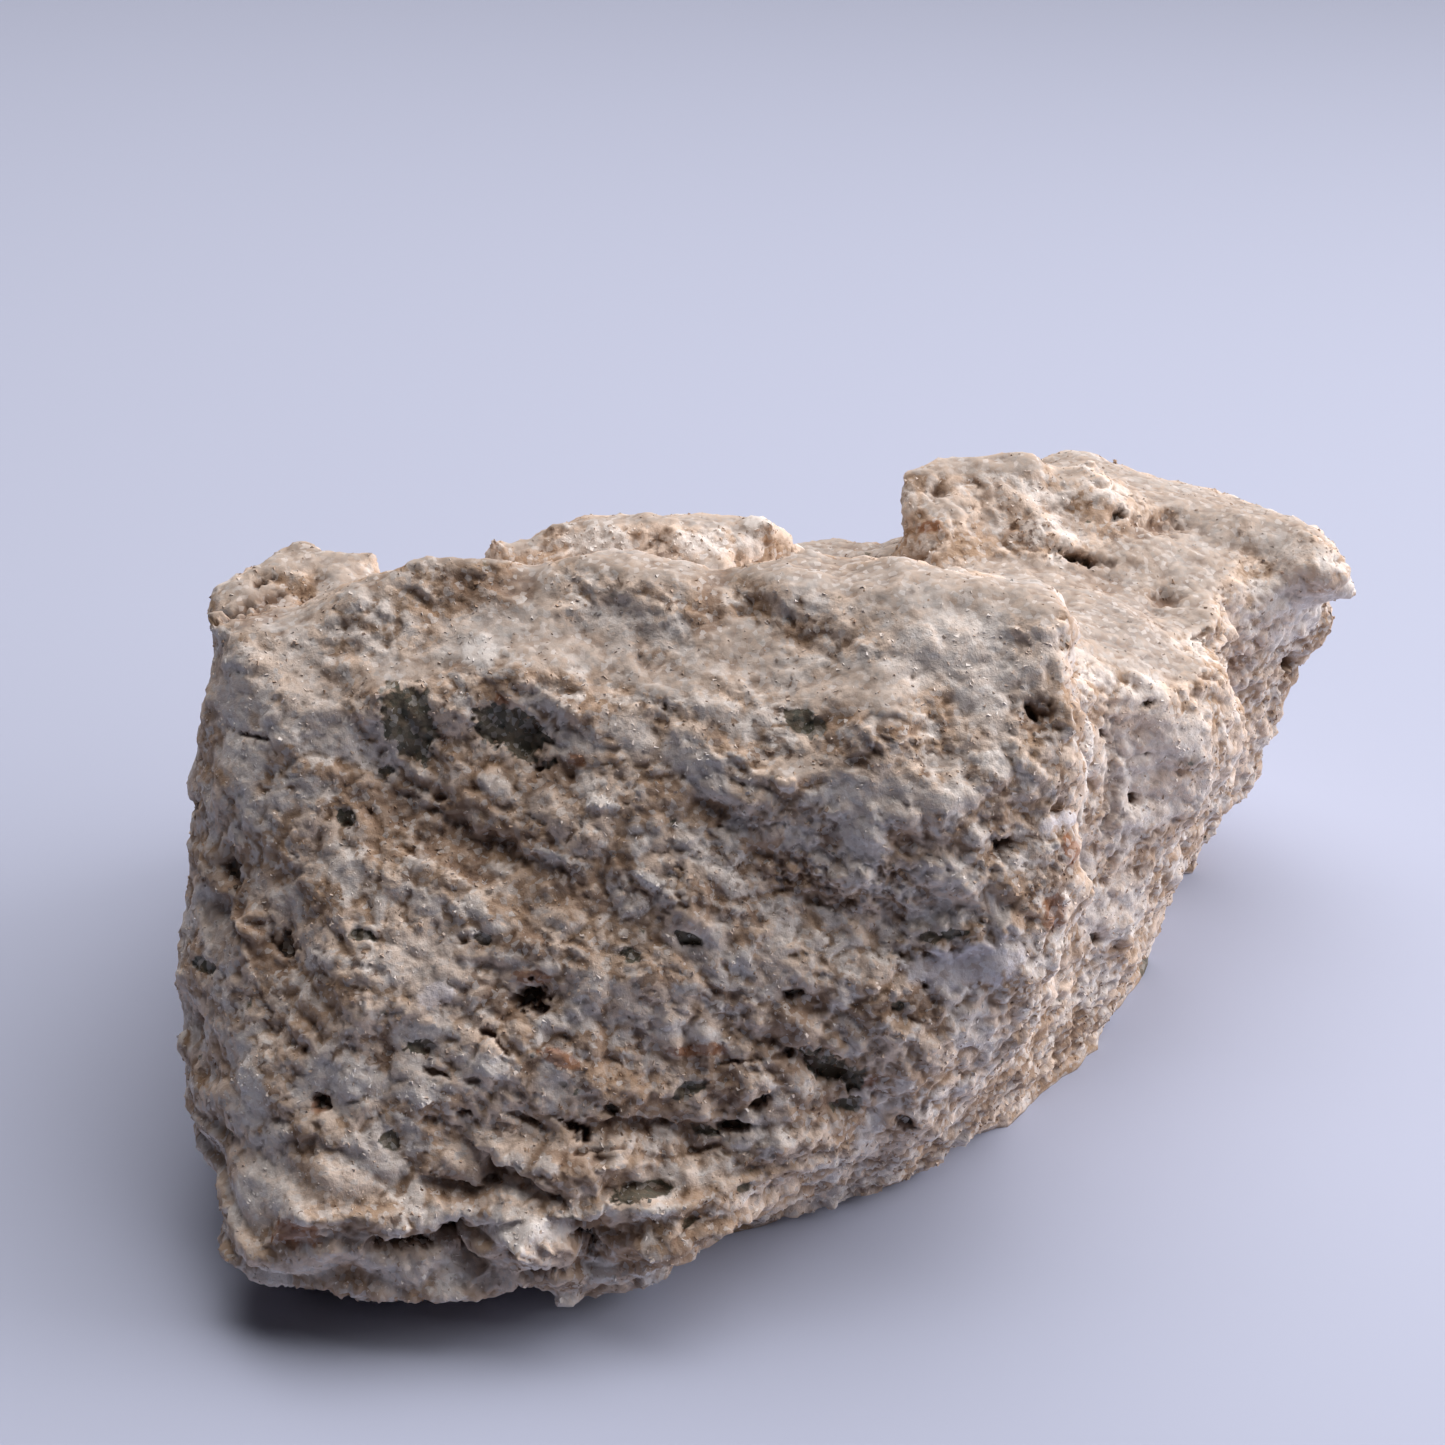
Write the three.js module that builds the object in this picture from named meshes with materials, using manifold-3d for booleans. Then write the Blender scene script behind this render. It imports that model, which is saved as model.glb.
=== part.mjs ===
// Calcite specimen: one broken lump of coarse white-to-tan calcite rock.
//
// Millimetres, +Z up. X runs along the lump, its broken front face looks towards -Y, and it stands on
// a flat underside at Z = 0. The lump is described as a field: a function that is negative inside the
// stone and positive outside, worked out from convex blocks, the relief of the front face and the grain
// of the fracture. A grid of cells then turns the field into one closed faceted solid.

import * as THREE from 'three';
import { ConvexHull } from 'three/addons/math/ConvexHull.js';
import { ImprovedNoise } from 'three/addons/math/ImprovedNoise.js';
import { mergeVertices } from 'three/addons/utils/BufferGeometryUtils.js';
import Module from 'manifold-3d';

const CELL = 2.65; // facet size of the solid
const MARGIN = 3; // empty cells round the lump
const SEAM = 3; // radius of the fillet where two blocks grow together
const KNOB_SEAM = 1.6; // radius of the fillet round a knob or a hole

// Corner points of the blocks, [x, y, z].

const FACE_BLOCK = [
  [-45.1, -15.3, 48.4], [-24.7, -11.9, 53.6], [13.6, -14.4, 55.3], [30.2, -20.7, 54.8], // top rim
  [31.1, -29.1, 49.2], [31.2, -34.7, 37.8], [28.8, -34.7, 29.5], [25.5, -37.4, 16], // right edge
  [15.3, -43.2, 12.7], [-0.2, -49.7, 8.8], [-14.6, -53.4, 5], [-30.7, -53.6, 3.9], // foot
  [-42.6, -49.4, 5], [-46.4, -41.2, 8.6], [-48.4, -34.8, 12.9], [-49.6, -27.7, 20.2], // left edge
  [-48, -18, 31.4], [-47.1, -13, 41],
  [14.6, -31, 46.6], [-36.5, -40, 26.1], [-39.6, -26, 41.1], [-35.4, -50.3, 12.9], // swells of the face
  [-46, 2, 38], [-20, 8, 37], [12, 8, 38], [28, 0, 42], // back of the top
  [-46, -8, -4], [-20, -36, -4], [10, -34, -4], [28, -22, -4], [28, 10, -4], [-44, 14, -4], // underside
];

const BACK_BLOCK = [
  [-46, -10, 36], [-46, 12, 34], [-30, 22, 32], [0, 26, 34], [30, 24, 36], [34, -10, 38], // top
  [-47, 0, 12], [-42, 24, 10], [-20, 33, 8], [10, 35, 8], [38, 32, 10], // waist
  [-42, 16, -4], [-18, 27, -4], [12, 29, -4], [38, 26, -4], [38, -8, -4], [-42, -14, -4], // underside
];

const SHELF_BLOCK = [
  [22, -18, 46], [35.3, -2.9, 38], [48.9, -6.7, 36], [46.3, 8.2, 38], [20, 12, 40], // top
  [50, 2, 24], [47.5, 3, 8], [42, 20, 22], // right edge, and the root of the rear lobe
  [46, 9.5, -2], [40.7, -6.5, -2], [34, -18.2, -2], [24, -28, -2], [16, 12, -2], // underside
];

const REAR_LOBE = [
  [20.8, 22.8, 42], [28.9, 24.4, 43], [38.8, 23.7, 43], [47.8, 21.3, 40], [57.2, 21.8, 39.3], // crest
  [63.5, 20.7, 38], [64, 18.1, 32], [61.8, 18.7, 24], [60, 18.8, 17.3], [56.3, 17.1, 11], // right edge
  [52.2, 12.9, 1], [49.4, 11.6, -2], [23, 10.6, 40], [44, 8, 37], [54, 11, 36], // front
  [24, 34, 38], [44, 37, 36], [58, 31, 30], [54, 29, 12], [40, 34, 10], [44, 27, -4], [20, 30, -4],
];

// Knobs of crystal that stand out of the stone, [x, y, z, radius].

const KNOBS = [
  [-21, 7, 40.4, 4], [-16, 8.5, 41, 3.5], [-12, 10, 41.6, 4], [-9, 11, 41.6, 4.8], // crust on the back rim
  [-4.5, 11, 41, 4.6], [0, 11, 40.2, 4.4], [4.2, 12, 41, 3.4], [8.5, 12, 39, 3],
  [-43.4, -4.5, 43.8, 4.2], [-39, -3, 43.8, 5.2], [-34.6, -3.5, 43.6, 5], // left end of the rim
  [21.4, 17, 42.2, 4.7], [28.5, 20, 42.4, 5], [36.5, 20.5, 40.8, 5], [44, 19.5, 38, 4.8], // rear lobe
  [51.5, 18.5, 36.2, 4.8], [58.5, 17, 35.4, 5],
  [-19.1, -50, 4, 2.9], [-14.5, -50.8, 3.8, 2.6], [-9.8, -48.4, 5, 2.9], // crystals under the foot
  [-6.7, -48.6, 4.2, 3], [-3.4, -47.8, 6, 3.1],
  [-16.1, -51, 9.8, 4.2], [-20.6, -50.3, 10.2, 3], [-12, -49.6, 9.6, 3], // lips of the lower ledges
  [-26.3, -50.6, 9.6, 3.4], [-5.3, -48.2, 10, 4], [-9, -49, 9.2, 3], [0.4, -46.6, 10.6, 3.6],
];

// The broken front face leans back, and its relief is laid out on it: s runs to the right and r up the face
// from its foot. Each entry is [s, r, half length, half width, turn in degrees, height].

const FACE_FOOT = new THREE.Vector3(0, -52, 6);
const FACE_LEAN = 40; // degrees from upright
const FACE_DEPTH = [-14, -7]; // how far behind the face its relief fades out

const FACE_SWELLS = [
  [-36, 50, 6, 5.1, 0, 0.8], [-22, 49, 3.3, 1.8, -60, 1.1], [-16, 51, 6.3, 2, -40, 1.5],
  [15, 54, 10.8, 5, 0, 1], [-5, 42, 5.7, 1.8, -35, 1.5], [-10, 39, 3.9, 1.6, -10, 1.5],
  [2, 41, 6, 2.2, -20, 1.3], [18, 40, 5.2, 2, 6, 1.8], [12, 37, 2.7, 2.1, 20, 1.4],
  [26, 43, 2.4, 3.1, 0, 1.1], [-27, 33, 5, 2.2, -15, 1], [-5, 32, 4.4, 2.3, -30, 1.2],
  [-26, 25, 7, 4.6, 10, 1.4], [2, 26, 3.5, 3.1, -35, 1.4], [-42, 23, 3.4, 3, 0, 1],
  [-5, 23, 5, 2.8, -5, 1.3], [-13, 21, 4.1, 1.8, -30, 1.1], [13, 20, 4.1, 3.8, 20, 1.4],
  [20, 20, 5, 3.4, 25, 1], [-40, 16, 3.6, 2.9, 0, 1.8], [-31, 16, 3.3, 2.5, 10, 1.4],
  [-25, 15, 3.1, 1.8, 10, 1.5], [-19, 17, 3.4, 2.1, -10, 1.8], [3, 15, 2.8, 2.1, 0, 1.4],
  [-11, 16, 5.3, 1.6, -15, 1.3], [-16, 11, 4.5, 1.5, -38, 1.6], [-20, 9, 3.2, 1.4, -10, 1.4],
  [-10, 9, 5.1, 1.6, 8, 1.4], [1, 9, 5.8, 1.6, 15, 1.4], [-33, 7, 4.2, 3.3, 0, 1.2],
  [-38, 2, 4.7, 3.4, 20, 1.6],
];

const FACE_HOLLOWS = [
  [-27, 43, 2.5, 3.8, -60, 1.4], [1, 57, 6.3, 2, -35, 1.4], [-12, 42, 6.5, 1.6, -22, 1.6],
  [-18, 36, 11.5, 3.1, -22, 2.6], [0, 38, 4.8, 1.9, -45, 1.7], [7, 33, 6.8, 2.3, -22, 2.8],
  [22, 33, 7.3, 3.2, 10, 1.2], [-41, 34, 5.1, 2.1, -55, 1.4], [-37, 28, 4.2, 1.9, -60, 2.4],
  [-8, 29, 5.6, 1.6, -30, 1.4], [15, 28, 4.5, 1.2, 10, 1.2], [-15.5, 23.5, 2, 1.9, 0, 3],
  [-2, 19, 7.3, 1.3, -3, 1.3], [9, 17, 4.1, 1.8, -20, 1.9], [-34, 16, 1.3, 3.3, -70, 1.2],
  [-20, 14, 5.8, 1.3, -25, 1.5], [4, 13, 10.8, 1.8, 2, 1.8], [-7, 7, 4.2, 1.4, 12, 2.1],
  [-22, 4, 2.4, 1.8, 40, 2], [-11, 3, 1.9, 2.4, 0, 2.4], [-27, 2, 4.2, 1.5, 0, 2.8],
];

// Old layers of the rock come out as low ledges along the right half of the foot.

const LAYER_TURN = 27; // degrees up to the right
const LAYER_THICKNESS = 3.9;
const LAYER_STEP = 1.1;
const LAYER_BAND = 13; // width of the band of ledges above the foot

// Holes, [x, y, z, radius]: each opens away from the stone's heart.

const HEART = new THREE.Vector3(0, -8, 22);
const HOLE_LENGTH = 7;

const HOLES = [
  [-16.1, -41.7, 27.4, 2.2], [-12, -47.6, 18.6, 1.9], [2.6, -45.6, 18.8, 1.9], [9.5, -43.2, 21.4, 2.4], // face
  [-33.8, -45.2, 19.6, 1.6], [25.7, -30, 48.4, 2], [-3.4, -40, 32.4, 1.4], [-17.2, -26.6, 43.9, 2.2],
  [45.3, 18.2, 41.4, 3], [39.2, 17, 42.2, 1.9], [21.4, 16, 44.4, 1.9], [34.6, 10.9, 40.2, 2], // rear lobe
  [57.9, 14.8, 24.8, 2.2], [42.2, 5.6, 38.9, 2.1], [44.2, -0.4, 38.6, 1.8], [38, -13, 28.2, 1.5], // right end
  [-42, -7.4, 47.8, 1.6], [-6, 30, 20, 2.6], [-30, 24, 16, 2.2], [22, 31, 20, 2.4], // left rim and back
];

const GRAIN_TURN = -35; // the ridges of the fracture run down to the right
const ROUGHNESS = [ // size of the lumps along the grain and across it, and their height
  { along: 21, across: 12, height: 1.3 },
  { along: 11, across: 5.6, height: 1.5 },
  { along: 5.6, across: 4.2, height: 0.8 },
];

const noise = new ImprovedNoise();
const { degToRad, smoothstep } = THREE.MathUtils;

// A convex block's field: how far a point lies outside the furthest of its planes.
function blockField(corners) {
  const hull = new ConvexHull().setFromPoints(corners.map((corner) => new THREE.Vector3(...corner)));
  const planes = hull.faces.map((face) => new THREE.Plane(face.normal.clone(), -face.constant));
  return (point) => Math.max(...planes.map((plane) => plane.distanceToPoint(point)));
}

// A hole's field: a round-ended bore.
function boreField([x, y, z, radius]) {
  const bottom = new THREE.Vector3(x, y, z);
  const mouth = bottom.clone().sub(HEART).setLength(HOLE_LENGTH).add(bottom);
  const axis = new THREE.Line3(bottom, mouth);
  const nearest = new THREE.Vector3();
  return (point) => axis.closestPointToPoint(point, true, nearest).distanceTo(point) - radius;
}

// A ball's field.
function ballField([x, y, z, radius]) {
  const centre = new THREE.Vector3(x, y, z);
  return (point) => point.distanceTo(centre) - radius;
}

// The lesser of two fields, with a fillet where they meet.
function grow(a, b, radius) {
  const overlap = Math.max(radius - Math.abs(a - b), 0) / radius;
  return Math.min(a, b) - (overlap * overlap * radius) / 4;
}

// The first field less the second.
function carve(a, b, radius) {
  return -grow(-a, b, radius);
}

const leanBack = degToRad(FACE_LEAN);
const faceUp = new THREE.Vector3(0, Math.sin(leanBack), Math.cos(leanBack));
const faceOut = new THREE.Vector3(0, -Math.cos(leanBack), Math.sin(leanBack));

function onFace(point) {
  const fromFoot = point.clone().sub(FACE_FOOT);
  return { s: fromFoot.x, r: fromFoot.dot(faceUp), out: fromFoot.dot(faceOut) };
}

// [s, r] turned so that the first runs along a direction on the face.
function turned(s, r, degrees) {
  const angle = degToRad(degrees);
  return [s * Math.cos(angle) + r * Math.sin(angle), r * Math.cos(angle) - s * Math.sin(angle)];
}

function mound(s, r, [s0, r0, length, width, turn, height]) {
  const [along, across] = turned(s - s0, r - r0, turn);
  return height * Math.exp(-((along / length) ** 2) - (across / width) ** 2);
}

function layerLedges(s, r) {
  const [, height] = turned(s, r, LAYER_TURN);
  const band = smoothstep(height, -1, 2) * (1 - smoothstep(height, LAYER_BAND - 5, LAYER_BAND));
  const rightHalf = smoothstep(s, -6, 6);
  const wander = 0.5 * noise.noise(s / 9, r / 9, 3.7);
  const level = height / LAYER_THICKNESS + wander;
  return band * rightHalf * LAYER_STEP * (0.5 - (level - Math.floor(level)));
}

function faceRelief({ s, r, out }) {
  const swells = FACE_SWELLS.reduce((sum, swell) => sum + mound(s, r, swell), 0);
  const hollows = FACE_HOLLOWS.reduce((sum, hollow) => sum + mound(s, r, hollow), 0);
  return smoothstep(out, ...FACE_DEPTH) * (swells - hollows + layerLedges(s, r));
}

// Lumps with sharp creases between them, drawn out along the grain.
function fracture({ s, r, out }) {
  const [along, across] = turned(s, r, GRAIN_TURN);
  return ROUGHNESS.reduce((sum, size, layer) => {
    const wave = noise.noise(along / size.along, across / size.across + 11 * layer, out / size.across + 5.3);
    return sum + size.height * (1.8 * Math.abs(wave) - 0.5 + 0.5 * wave);
  }, 0);
}

const blocks = [FACE_BLOCK, BACK_BLOCK, SHELF_BLOCK, REAR_LOBE].map(blockField);
const knobs = KNOBS.map(ballField);
const holes = HOLES.map(boreField);

function stoneField(point) {
  const place = onFace(point);
  const lump = blocks.map((block) => block(point)).reduce((a, b) => grow(a, b, SEAM));
  const knobbed = knobs.reduce((field, knob) => grow(field, knob(point), KNOB_SEAM), lump);
  const rough = knobbed - faceRelief(place) - fracture(place);
  return holes.reduce((field, hole) => carve(field, hole(point), KNOB_SEAM), rough);
}

// The field on the corners of a grid of cells.
function sampleField(field, box) {
  const low = box.min.clone().subScalar(MARGIN * CELL);
  const count = box.getSize(new THREE.Vector3()).divideScalar(CELL).addScalar(2 * MARGIN + 1).ceil();
  const step = [1, count.x, count.x * count.y];
  const values = new Float32Array(count.x * count.y * count.z);
  const place = (index) => new THREE.Vector3(
    index % count.x,
    Math.floor(index / step[1]) % count.y,
    Math.floor(index / step[2]),
  ).multiplyScalar(CELL).add(low);
  for (let index = 0; index < values.length; index++) {
    values[index] = field(place(index)) || 1e-6;
  }
  return { values, count, step, place };
}

// Surface nets can't draw a cell face with inside and outside corners crosswise, or a cell where only two
// opposite corners differ from the rest. The faintest outside corner of each such place is filled in, until
// none is left.
function settle(grid) {
  const { values, step: [dx, dy, dz] } = grid;
  const faces = [[0, dx, dy, dx + dy], [0, dy, dz, dy + dz], [0, dx, dz, dx + dz]];
  const spans = [[0, dx + dy + dz], [dx, dy + dz], [dy, dx + dz], [dz, dx + dy]];
  const cell = spans.flat();
  const last = values.length - dx - dy - dz;
  let filled = true;
  const fill = (corners) => {
    const faintest = corners.filter((corner) => values[corner] > 0).sort((a, b) => values[a] - values[b])[0];
    values[faintest] *= -1;
    filled = true;
  };
  while (filled) {
    filled = false;
    for (let index = 0; index < last; index++) {
      const inside = (offset) => values[index + offset] < 0;
      for (const face of faces) {
        const [a, b, c, d] = face.map(inside);
        if (a === d && b === c && a !== b) fill(face.map((offset) => index + offset));
      }
      const count = cell.filter(inside).length;
      if (count !== 2 && count !== 6) continue;
      const alone = spans.some(([a, b]) => inside(a) === inside(b) && inside(a) === (count === 2));
      if (alone) fill(cell.map((offset) => index + offset));
    }
  }
  return grid;
}

// Surface nets: one vertex in each cell that the surface crosses, and two triangles across each grid edge
// that it crosses.
function skin(grid) {
  const { values, step: [dx, dy, dz], place } = grid;
  const corners = [0, dx, dy, dx + dy, dz, dx + dz, dy + dz, dx + dy + dz];
  const edges = [];
  corners.forEach((from, i) => corners.forEach((to, j) => {
    const bits = i ^ j;
    if (j > i && (bits & (bits - 1)) === 0) edges.push([from, to]);
  }));
  const vertexOf = new Map();
  const positions = [];
  const last = values.length - dx - dy - dz;
  for (let index = 0; index < last; index++) {
    const mean = new THREE.Vector3();
    let crossings = 0;
    for (const [from, to] of edges) {
      const a = values[index + from];
      const b = values[index + to];
      if (a < 0 !== b < 0) {
        mean.add(place(index + from).lerp(place(index + to), a / (a - b)));
        crossings++;
      }
    }
    if (crossings > 0) {
      vertexOf.set(index, positions.length / 3);
      positions.push(...mean.divideScalar(crossings).toArray());
    }
  }
  const triangles = [];
  for (let index = dx + dy + dz; index < last; index++) {
    [[dx, dy, dz], [dy, dz, dx], [dz, dx, dy]].forEach(([along, side, up]) => {
      const fromInside = values[index] < 0;
      const toInside = values[index + along] < 0;
      if (fromInside !== toInside) {
        const ring = [index, index - side, index - side - up, index - up].map((cell) => vertexOf.get(cell));
        const [a, b, c, d] = fromInside ? ring : ring.reverse();
        const corner = (k) => new THREE.Vector3().fromArray(positions, 3 * k);
        const shortCut = corner(a).distanceTo(corner(c)) < corner(b).distanceTo(corner(d));
        triangles.push(...(shortCut ? [a, b, c, a, c, d] : [a, b, d, b, c, d]));
      }
    });
  }
  return { positions, triangles };
}

const reach = new THREE.Box3().setFromPoints(
  [...FACE_BLOCK, ...BACK_BLOCK, ...SHELF_BLOCK, ...REAR_LOBE].map((corner) => new THREE.Vector3(...corner)),
).expandByScalar(4);
const { positions, triangles } = skin(settle(sampleField(stoneField, reach)));

const wasm = await Module();
wasm.setup();

function asSolid(vertProperties, triVerts) {
  return new wasm.Manifold(new wasm.Mesh({
    numProp: 3,
    vertProperties: new Float32Array(vertProperties),
    triVerts: new Uint32Array(triVerts),
  }));
}

// Everything below Z = 0 is sawn off, which leaves the flat underside that the stone rests on.
function sawFlat(stone) {
  const tall = 200;
  const box = new THREE.BoxGeometry(400, 400, tall).translate(0, 0, tall / 2);
  box.deleteAttribute('normal');
  box.deleteAttribute('uv');
  const keep = mergeVertices(box);
  return stone.intersect(asSolid(keep.attributes.position.array, keep.index.array)).getMesh();
}

const cut = sawFlat(asSolid(positions, triangles));
const geometry = new THREE.BufferGeometry();
geometry.setAttribute('position', new THREE.BufferAttribute(cut.vertProperties, 3));
geometry.setIndex(new THREE.BufferAttribute(cut.triVerts, 1));
geometry.computeBoundingBox();
const middle = geometry.boundingBox.getCenter(new THREE.Vector3());
geometry.computeVertexNormals();

const rock = new THREE.Mesh(geometry, new THREE.MeshStandardMaterial({
  color: '#b8a792',
  roughness: 0.75,
  metalness: 0,
}));
rock.name = 'calcite_rock';
rock.position.set(-middle.x, -middle.y, 0); // the origin is below the lump's middle

const specimen = new THREE.Group();
specimen.name = 'calcite_specimen';
specimen.add(rock);

export default specimen;
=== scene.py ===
import math

import bmesh
import bpy
import numpy as np
from mathutils import Matrix, Vector, noise
from mathutils.bvhtree import BVHTree


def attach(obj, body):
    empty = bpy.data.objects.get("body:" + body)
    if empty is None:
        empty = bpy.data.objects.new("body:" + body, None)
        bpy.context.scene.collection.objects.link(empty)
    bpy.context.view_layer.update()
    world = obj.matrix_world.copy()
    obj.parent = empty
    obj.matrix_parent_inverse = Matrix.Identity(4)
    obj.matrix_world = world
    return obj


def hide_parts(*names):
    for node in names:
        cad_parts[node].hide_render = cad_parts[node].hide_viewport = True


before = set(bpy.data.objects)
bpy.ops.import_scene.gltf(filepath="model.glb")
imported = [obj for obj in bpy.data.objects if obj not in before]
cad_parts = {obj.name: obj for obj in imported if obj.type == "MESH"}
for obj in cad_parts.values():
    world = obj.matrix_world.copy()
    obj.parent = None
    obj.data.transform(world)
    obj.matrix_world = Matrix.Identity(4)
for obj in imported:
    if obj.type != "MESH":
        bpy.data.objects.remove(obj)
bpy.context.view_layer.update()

mm = 0.001


def linearColour(hexText):
    # an sRGB hex value as the linear colour that a socket takes
    parts = [int(hexText[i:i + 2], 16) / 255 for i in (1, 3, 5)]
    return tuple(p / 12.92 if p <= 0.04045 else ((p + 0.055) / 1.055) ** 2.4 for p in parts) + (1.0,)


def addNode(tree, kind, inputs=None, **settings):
    # one node with its settings; an input is a value, or the socket that feeds it
    node = tree.nodes.new(kind)
    for name, value in settings.items():
        setattr(node, name, value)
    for name, value in (inputs or {}).items():
        socket = node.inputs[name]
        if isinstance(value, bpy.types.NodeSocket):
            tree.links.new(value, socket)
        else:
            socket.default_value = value
    return node


def newMaterial(name):
    material = bpy.data.materials.new(name)
    material.use_nodes = True
    material.node_tree.nodes.clear()
    return material, material.node_tree


def smoothStep(low, high, value):
    share = np.clip((value - low) / (high - low), 0.0, 1.0)
    return share * share * (3 - 2 * share)


# Camera, floor and light

shot = {
    "place": (-7.187, -209.348, 169.6),  # the camera, in millimetres
    "tilt": 33,  # degrees below the horizon
    "angle": 30,  # field of view, in degrees
    "frameWidth": 1445,  # the picture's width and height, in pixels
    "near": 0.01,  # clipping distances, in metres
    "far": 20,
}

studio = {
    "floorColour": "#b7bed5",
    "floorWidth": 4.0,  # in metres
    "floorRoughness": 0.95,
    "floorShine": 0.2,
    "skyColour": "#d9d8da",
    "skyStrength": 0.014,
    "lampColour": "#fbf6f4",
}

softboxes = {  # places, aims and sizes in metres, power in watts, spread in degrees
    "overhead": {"place": (0.21, 0.16, 0.55), "aim": (0.09, -0.12, 0), "width": 1.3, "height": 0.5,
                 "power": 3.78, "spread": 115},
    "side": {"place": (0.75, 0.12, 0.30), "aim": (0, 0, 0), "width": 0.6, "height": 0.4,
             "power": 5.6, "spread": 180},
}


def makeCamera():
    data = bpy.data.cameras.new("camera")
    data.angle = math.radians(shot["angle"])
    data.clip_start = shot["near"]
    data.clip_end = shot["far"]
    camera = bpy.data.objects.new("camera", data)
    camera.location = Vector(shot["place"]) * mm
    camera.rotation_euler = (math.radians(90 - shot["tilt"]), 0, 0)
    bpy.context.scene.collection.objects.link(camera)
    bpy.context.scene.camera = camera


def makeFloor():
    bm = bmesh.new()
    bmesh.ops.create_grid(bm, x_segments=2, y_segments=2, size=studio["floorWidth"] / 2)
    mesh = bpy.data.meshes.new("floor")
    bm.to_mesh(mesh)
    bm.free()
    floor = bpy.data.objects.new("floor", mesh)
    bpy.context.scene.collection.objects.link(floor)
    material, tree = newMaterial("matt paper sweep")  # plain matt paper, so it takes only soft shade
    shader = addNode(tree, "ShaderNodeBsdfPrincipled", {
        "Base Color": linearColour(studio["floorColour"]),
        "Roughness": studio["floorRoughness"],
        "Specular IOR Level": studio["floorShine"]})
    addNode(tree, "ShaderNodeOutputMaterial", {"Surface": shader.outputs["BSDF"]})
    mesh.materials.append(material)


def makeLight():
    for name, box in softboxes.items():
        data = bpy.data.lights.new(name, "AREA")
        data.shape = "RECTANGLE"
        data.size = box["width"]
        data.size_y = box["height"]
        data.energy = box["power"]
        data.spread = math.radians(box["spread"])
        data.color = linearColour(studio["lampColour"])[:3]
        light = bpy.data.objects.new(name, data)
        light.location = box["place"]
        light.rotation_euler = (Vector(box["aim"]) - light.location).to_track_quat("-Z", "Y").to_euler()
        bpy.context.scene.collection.objects.link(light)
    world = bpy.data.worlds.new("studio")
    world.use_nodes = True
    background = world.node_tree.nodes["Background"]
    background.inputs["Color"].default_value = linearColour(studio["skyColour"])
    background.inputs["Strength"].default_value = studio["skyStrength"]
    bpy.context.scene.world = world


makeCamera()
makeFloor()
makeLight()
bpy.context.scene.view_settings.view_transform = "Standard"
print("camera, floor and light made")


# Places seen by the camera

tilt = math.radians(shot["tilt"])
sightAhead = Vector((0, math.cos(tilt), -math.sin(tilt)))
sightRight = Vector((1, 0, 0))
sightUp = Vector((0, math.sin(tilt), math.cos(tilt)))
pixelsAhead = shot["frameWidth"] / 2 / math.tan(math.radians(shot["angle"] / 2))


def placeSeen(tree, across, down):
    # the point and the outward direction of the surface that lies behind a pixel
    middle = shot["frameWidth"] / 2
    ray = sightAhead * pixelsAhead + sightRight * (across - middle) - sightUp * (down - middle)
    return tree.ray_cast(Vector(shot["place"]), ray.normalized())[:2]


# Each mark on the stone: pixel across and down, half length and half width in millimetres,
# turn in degrees from the level, and depth or height in millimetres.
pits = {
    "sugaryBrownPit": (530, 1000, 1.8, 1.5, -20, 2.4),
    "glossyBlackPit": (578, 1128, 1.9, 0.9, -35, 2.0),
    "squareHole": (760, 1104, 1.0, 0.8, 0, 1.9),
    "darkSlitPit": (735, 1127, 1.8, 0.7, 5, 1.6),
    "lensRecess": (610, 1107, 1.2, 0.7, -5, 1.2),
    "ochrePit": (320, 1101, 0.8, 1.0, 60, 1.3),
    "smallBrownHole": (793, 994, 0.8, 0.7, 0, 1.3),
    "edgePit": (1033, 713, 0.5, 1.3, 35, 1.0),
    "trianglePit": (1135, 798, 0.8, 0.7, 50, 1.4),
    "sideHole": (1290, 668, 1.2, 1.2, 40, 1.5),
    "lobeCrack": (1118, 516, 1.0, 0.6, 10, 1.3),
    "crustJoint": (1078, 556, 2.5, 0.6, -12, 1.4),
    "leftCornerGap": (225, 612, 2.0, 0.7, 35, 1.5),
    "leftCornerHole": (263, 582, 1.1, 0.5, 25, 1.2),
    "lowLedgeRecess": (400, 1246, 3.0, 0.7, 0, 1.0),
    "lowLedgeNotch": (455, 1225, 1.7, 1.1, 40, 1.4),
    "footNotch": (590, 1240, 0.9, 1.5, 70, 1.6),
    "footRecess": (540, 1275, 1.7, 0.7, 5, 1.4),
    "browPitRight": (1005, 845, 1.0, 0.5, 30, 0.8),
    "flutePitTop": (1150, 703, 0.9, 0.4, 20, 0.7),
    "flutePitLeft": (1105, 735, 0.7, 0.5, -40, 0.9),
    "flutePitFoot": (1097, 940, 0.6, 0.8, 80, 0.9),
    "stripPit": (905, 1122, 0.8, 1.3, 65, 1.1),
    "cheekHollow": (285, 945, 1.2, 1.6, 40, 0.9),
    "edgeShadowPit": (193, 805, 0.8, 1.8, 85, 1.2),
    "cheekPit": (235, 870, 1.6, 0.9, -60, 1.0),
}

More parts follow.
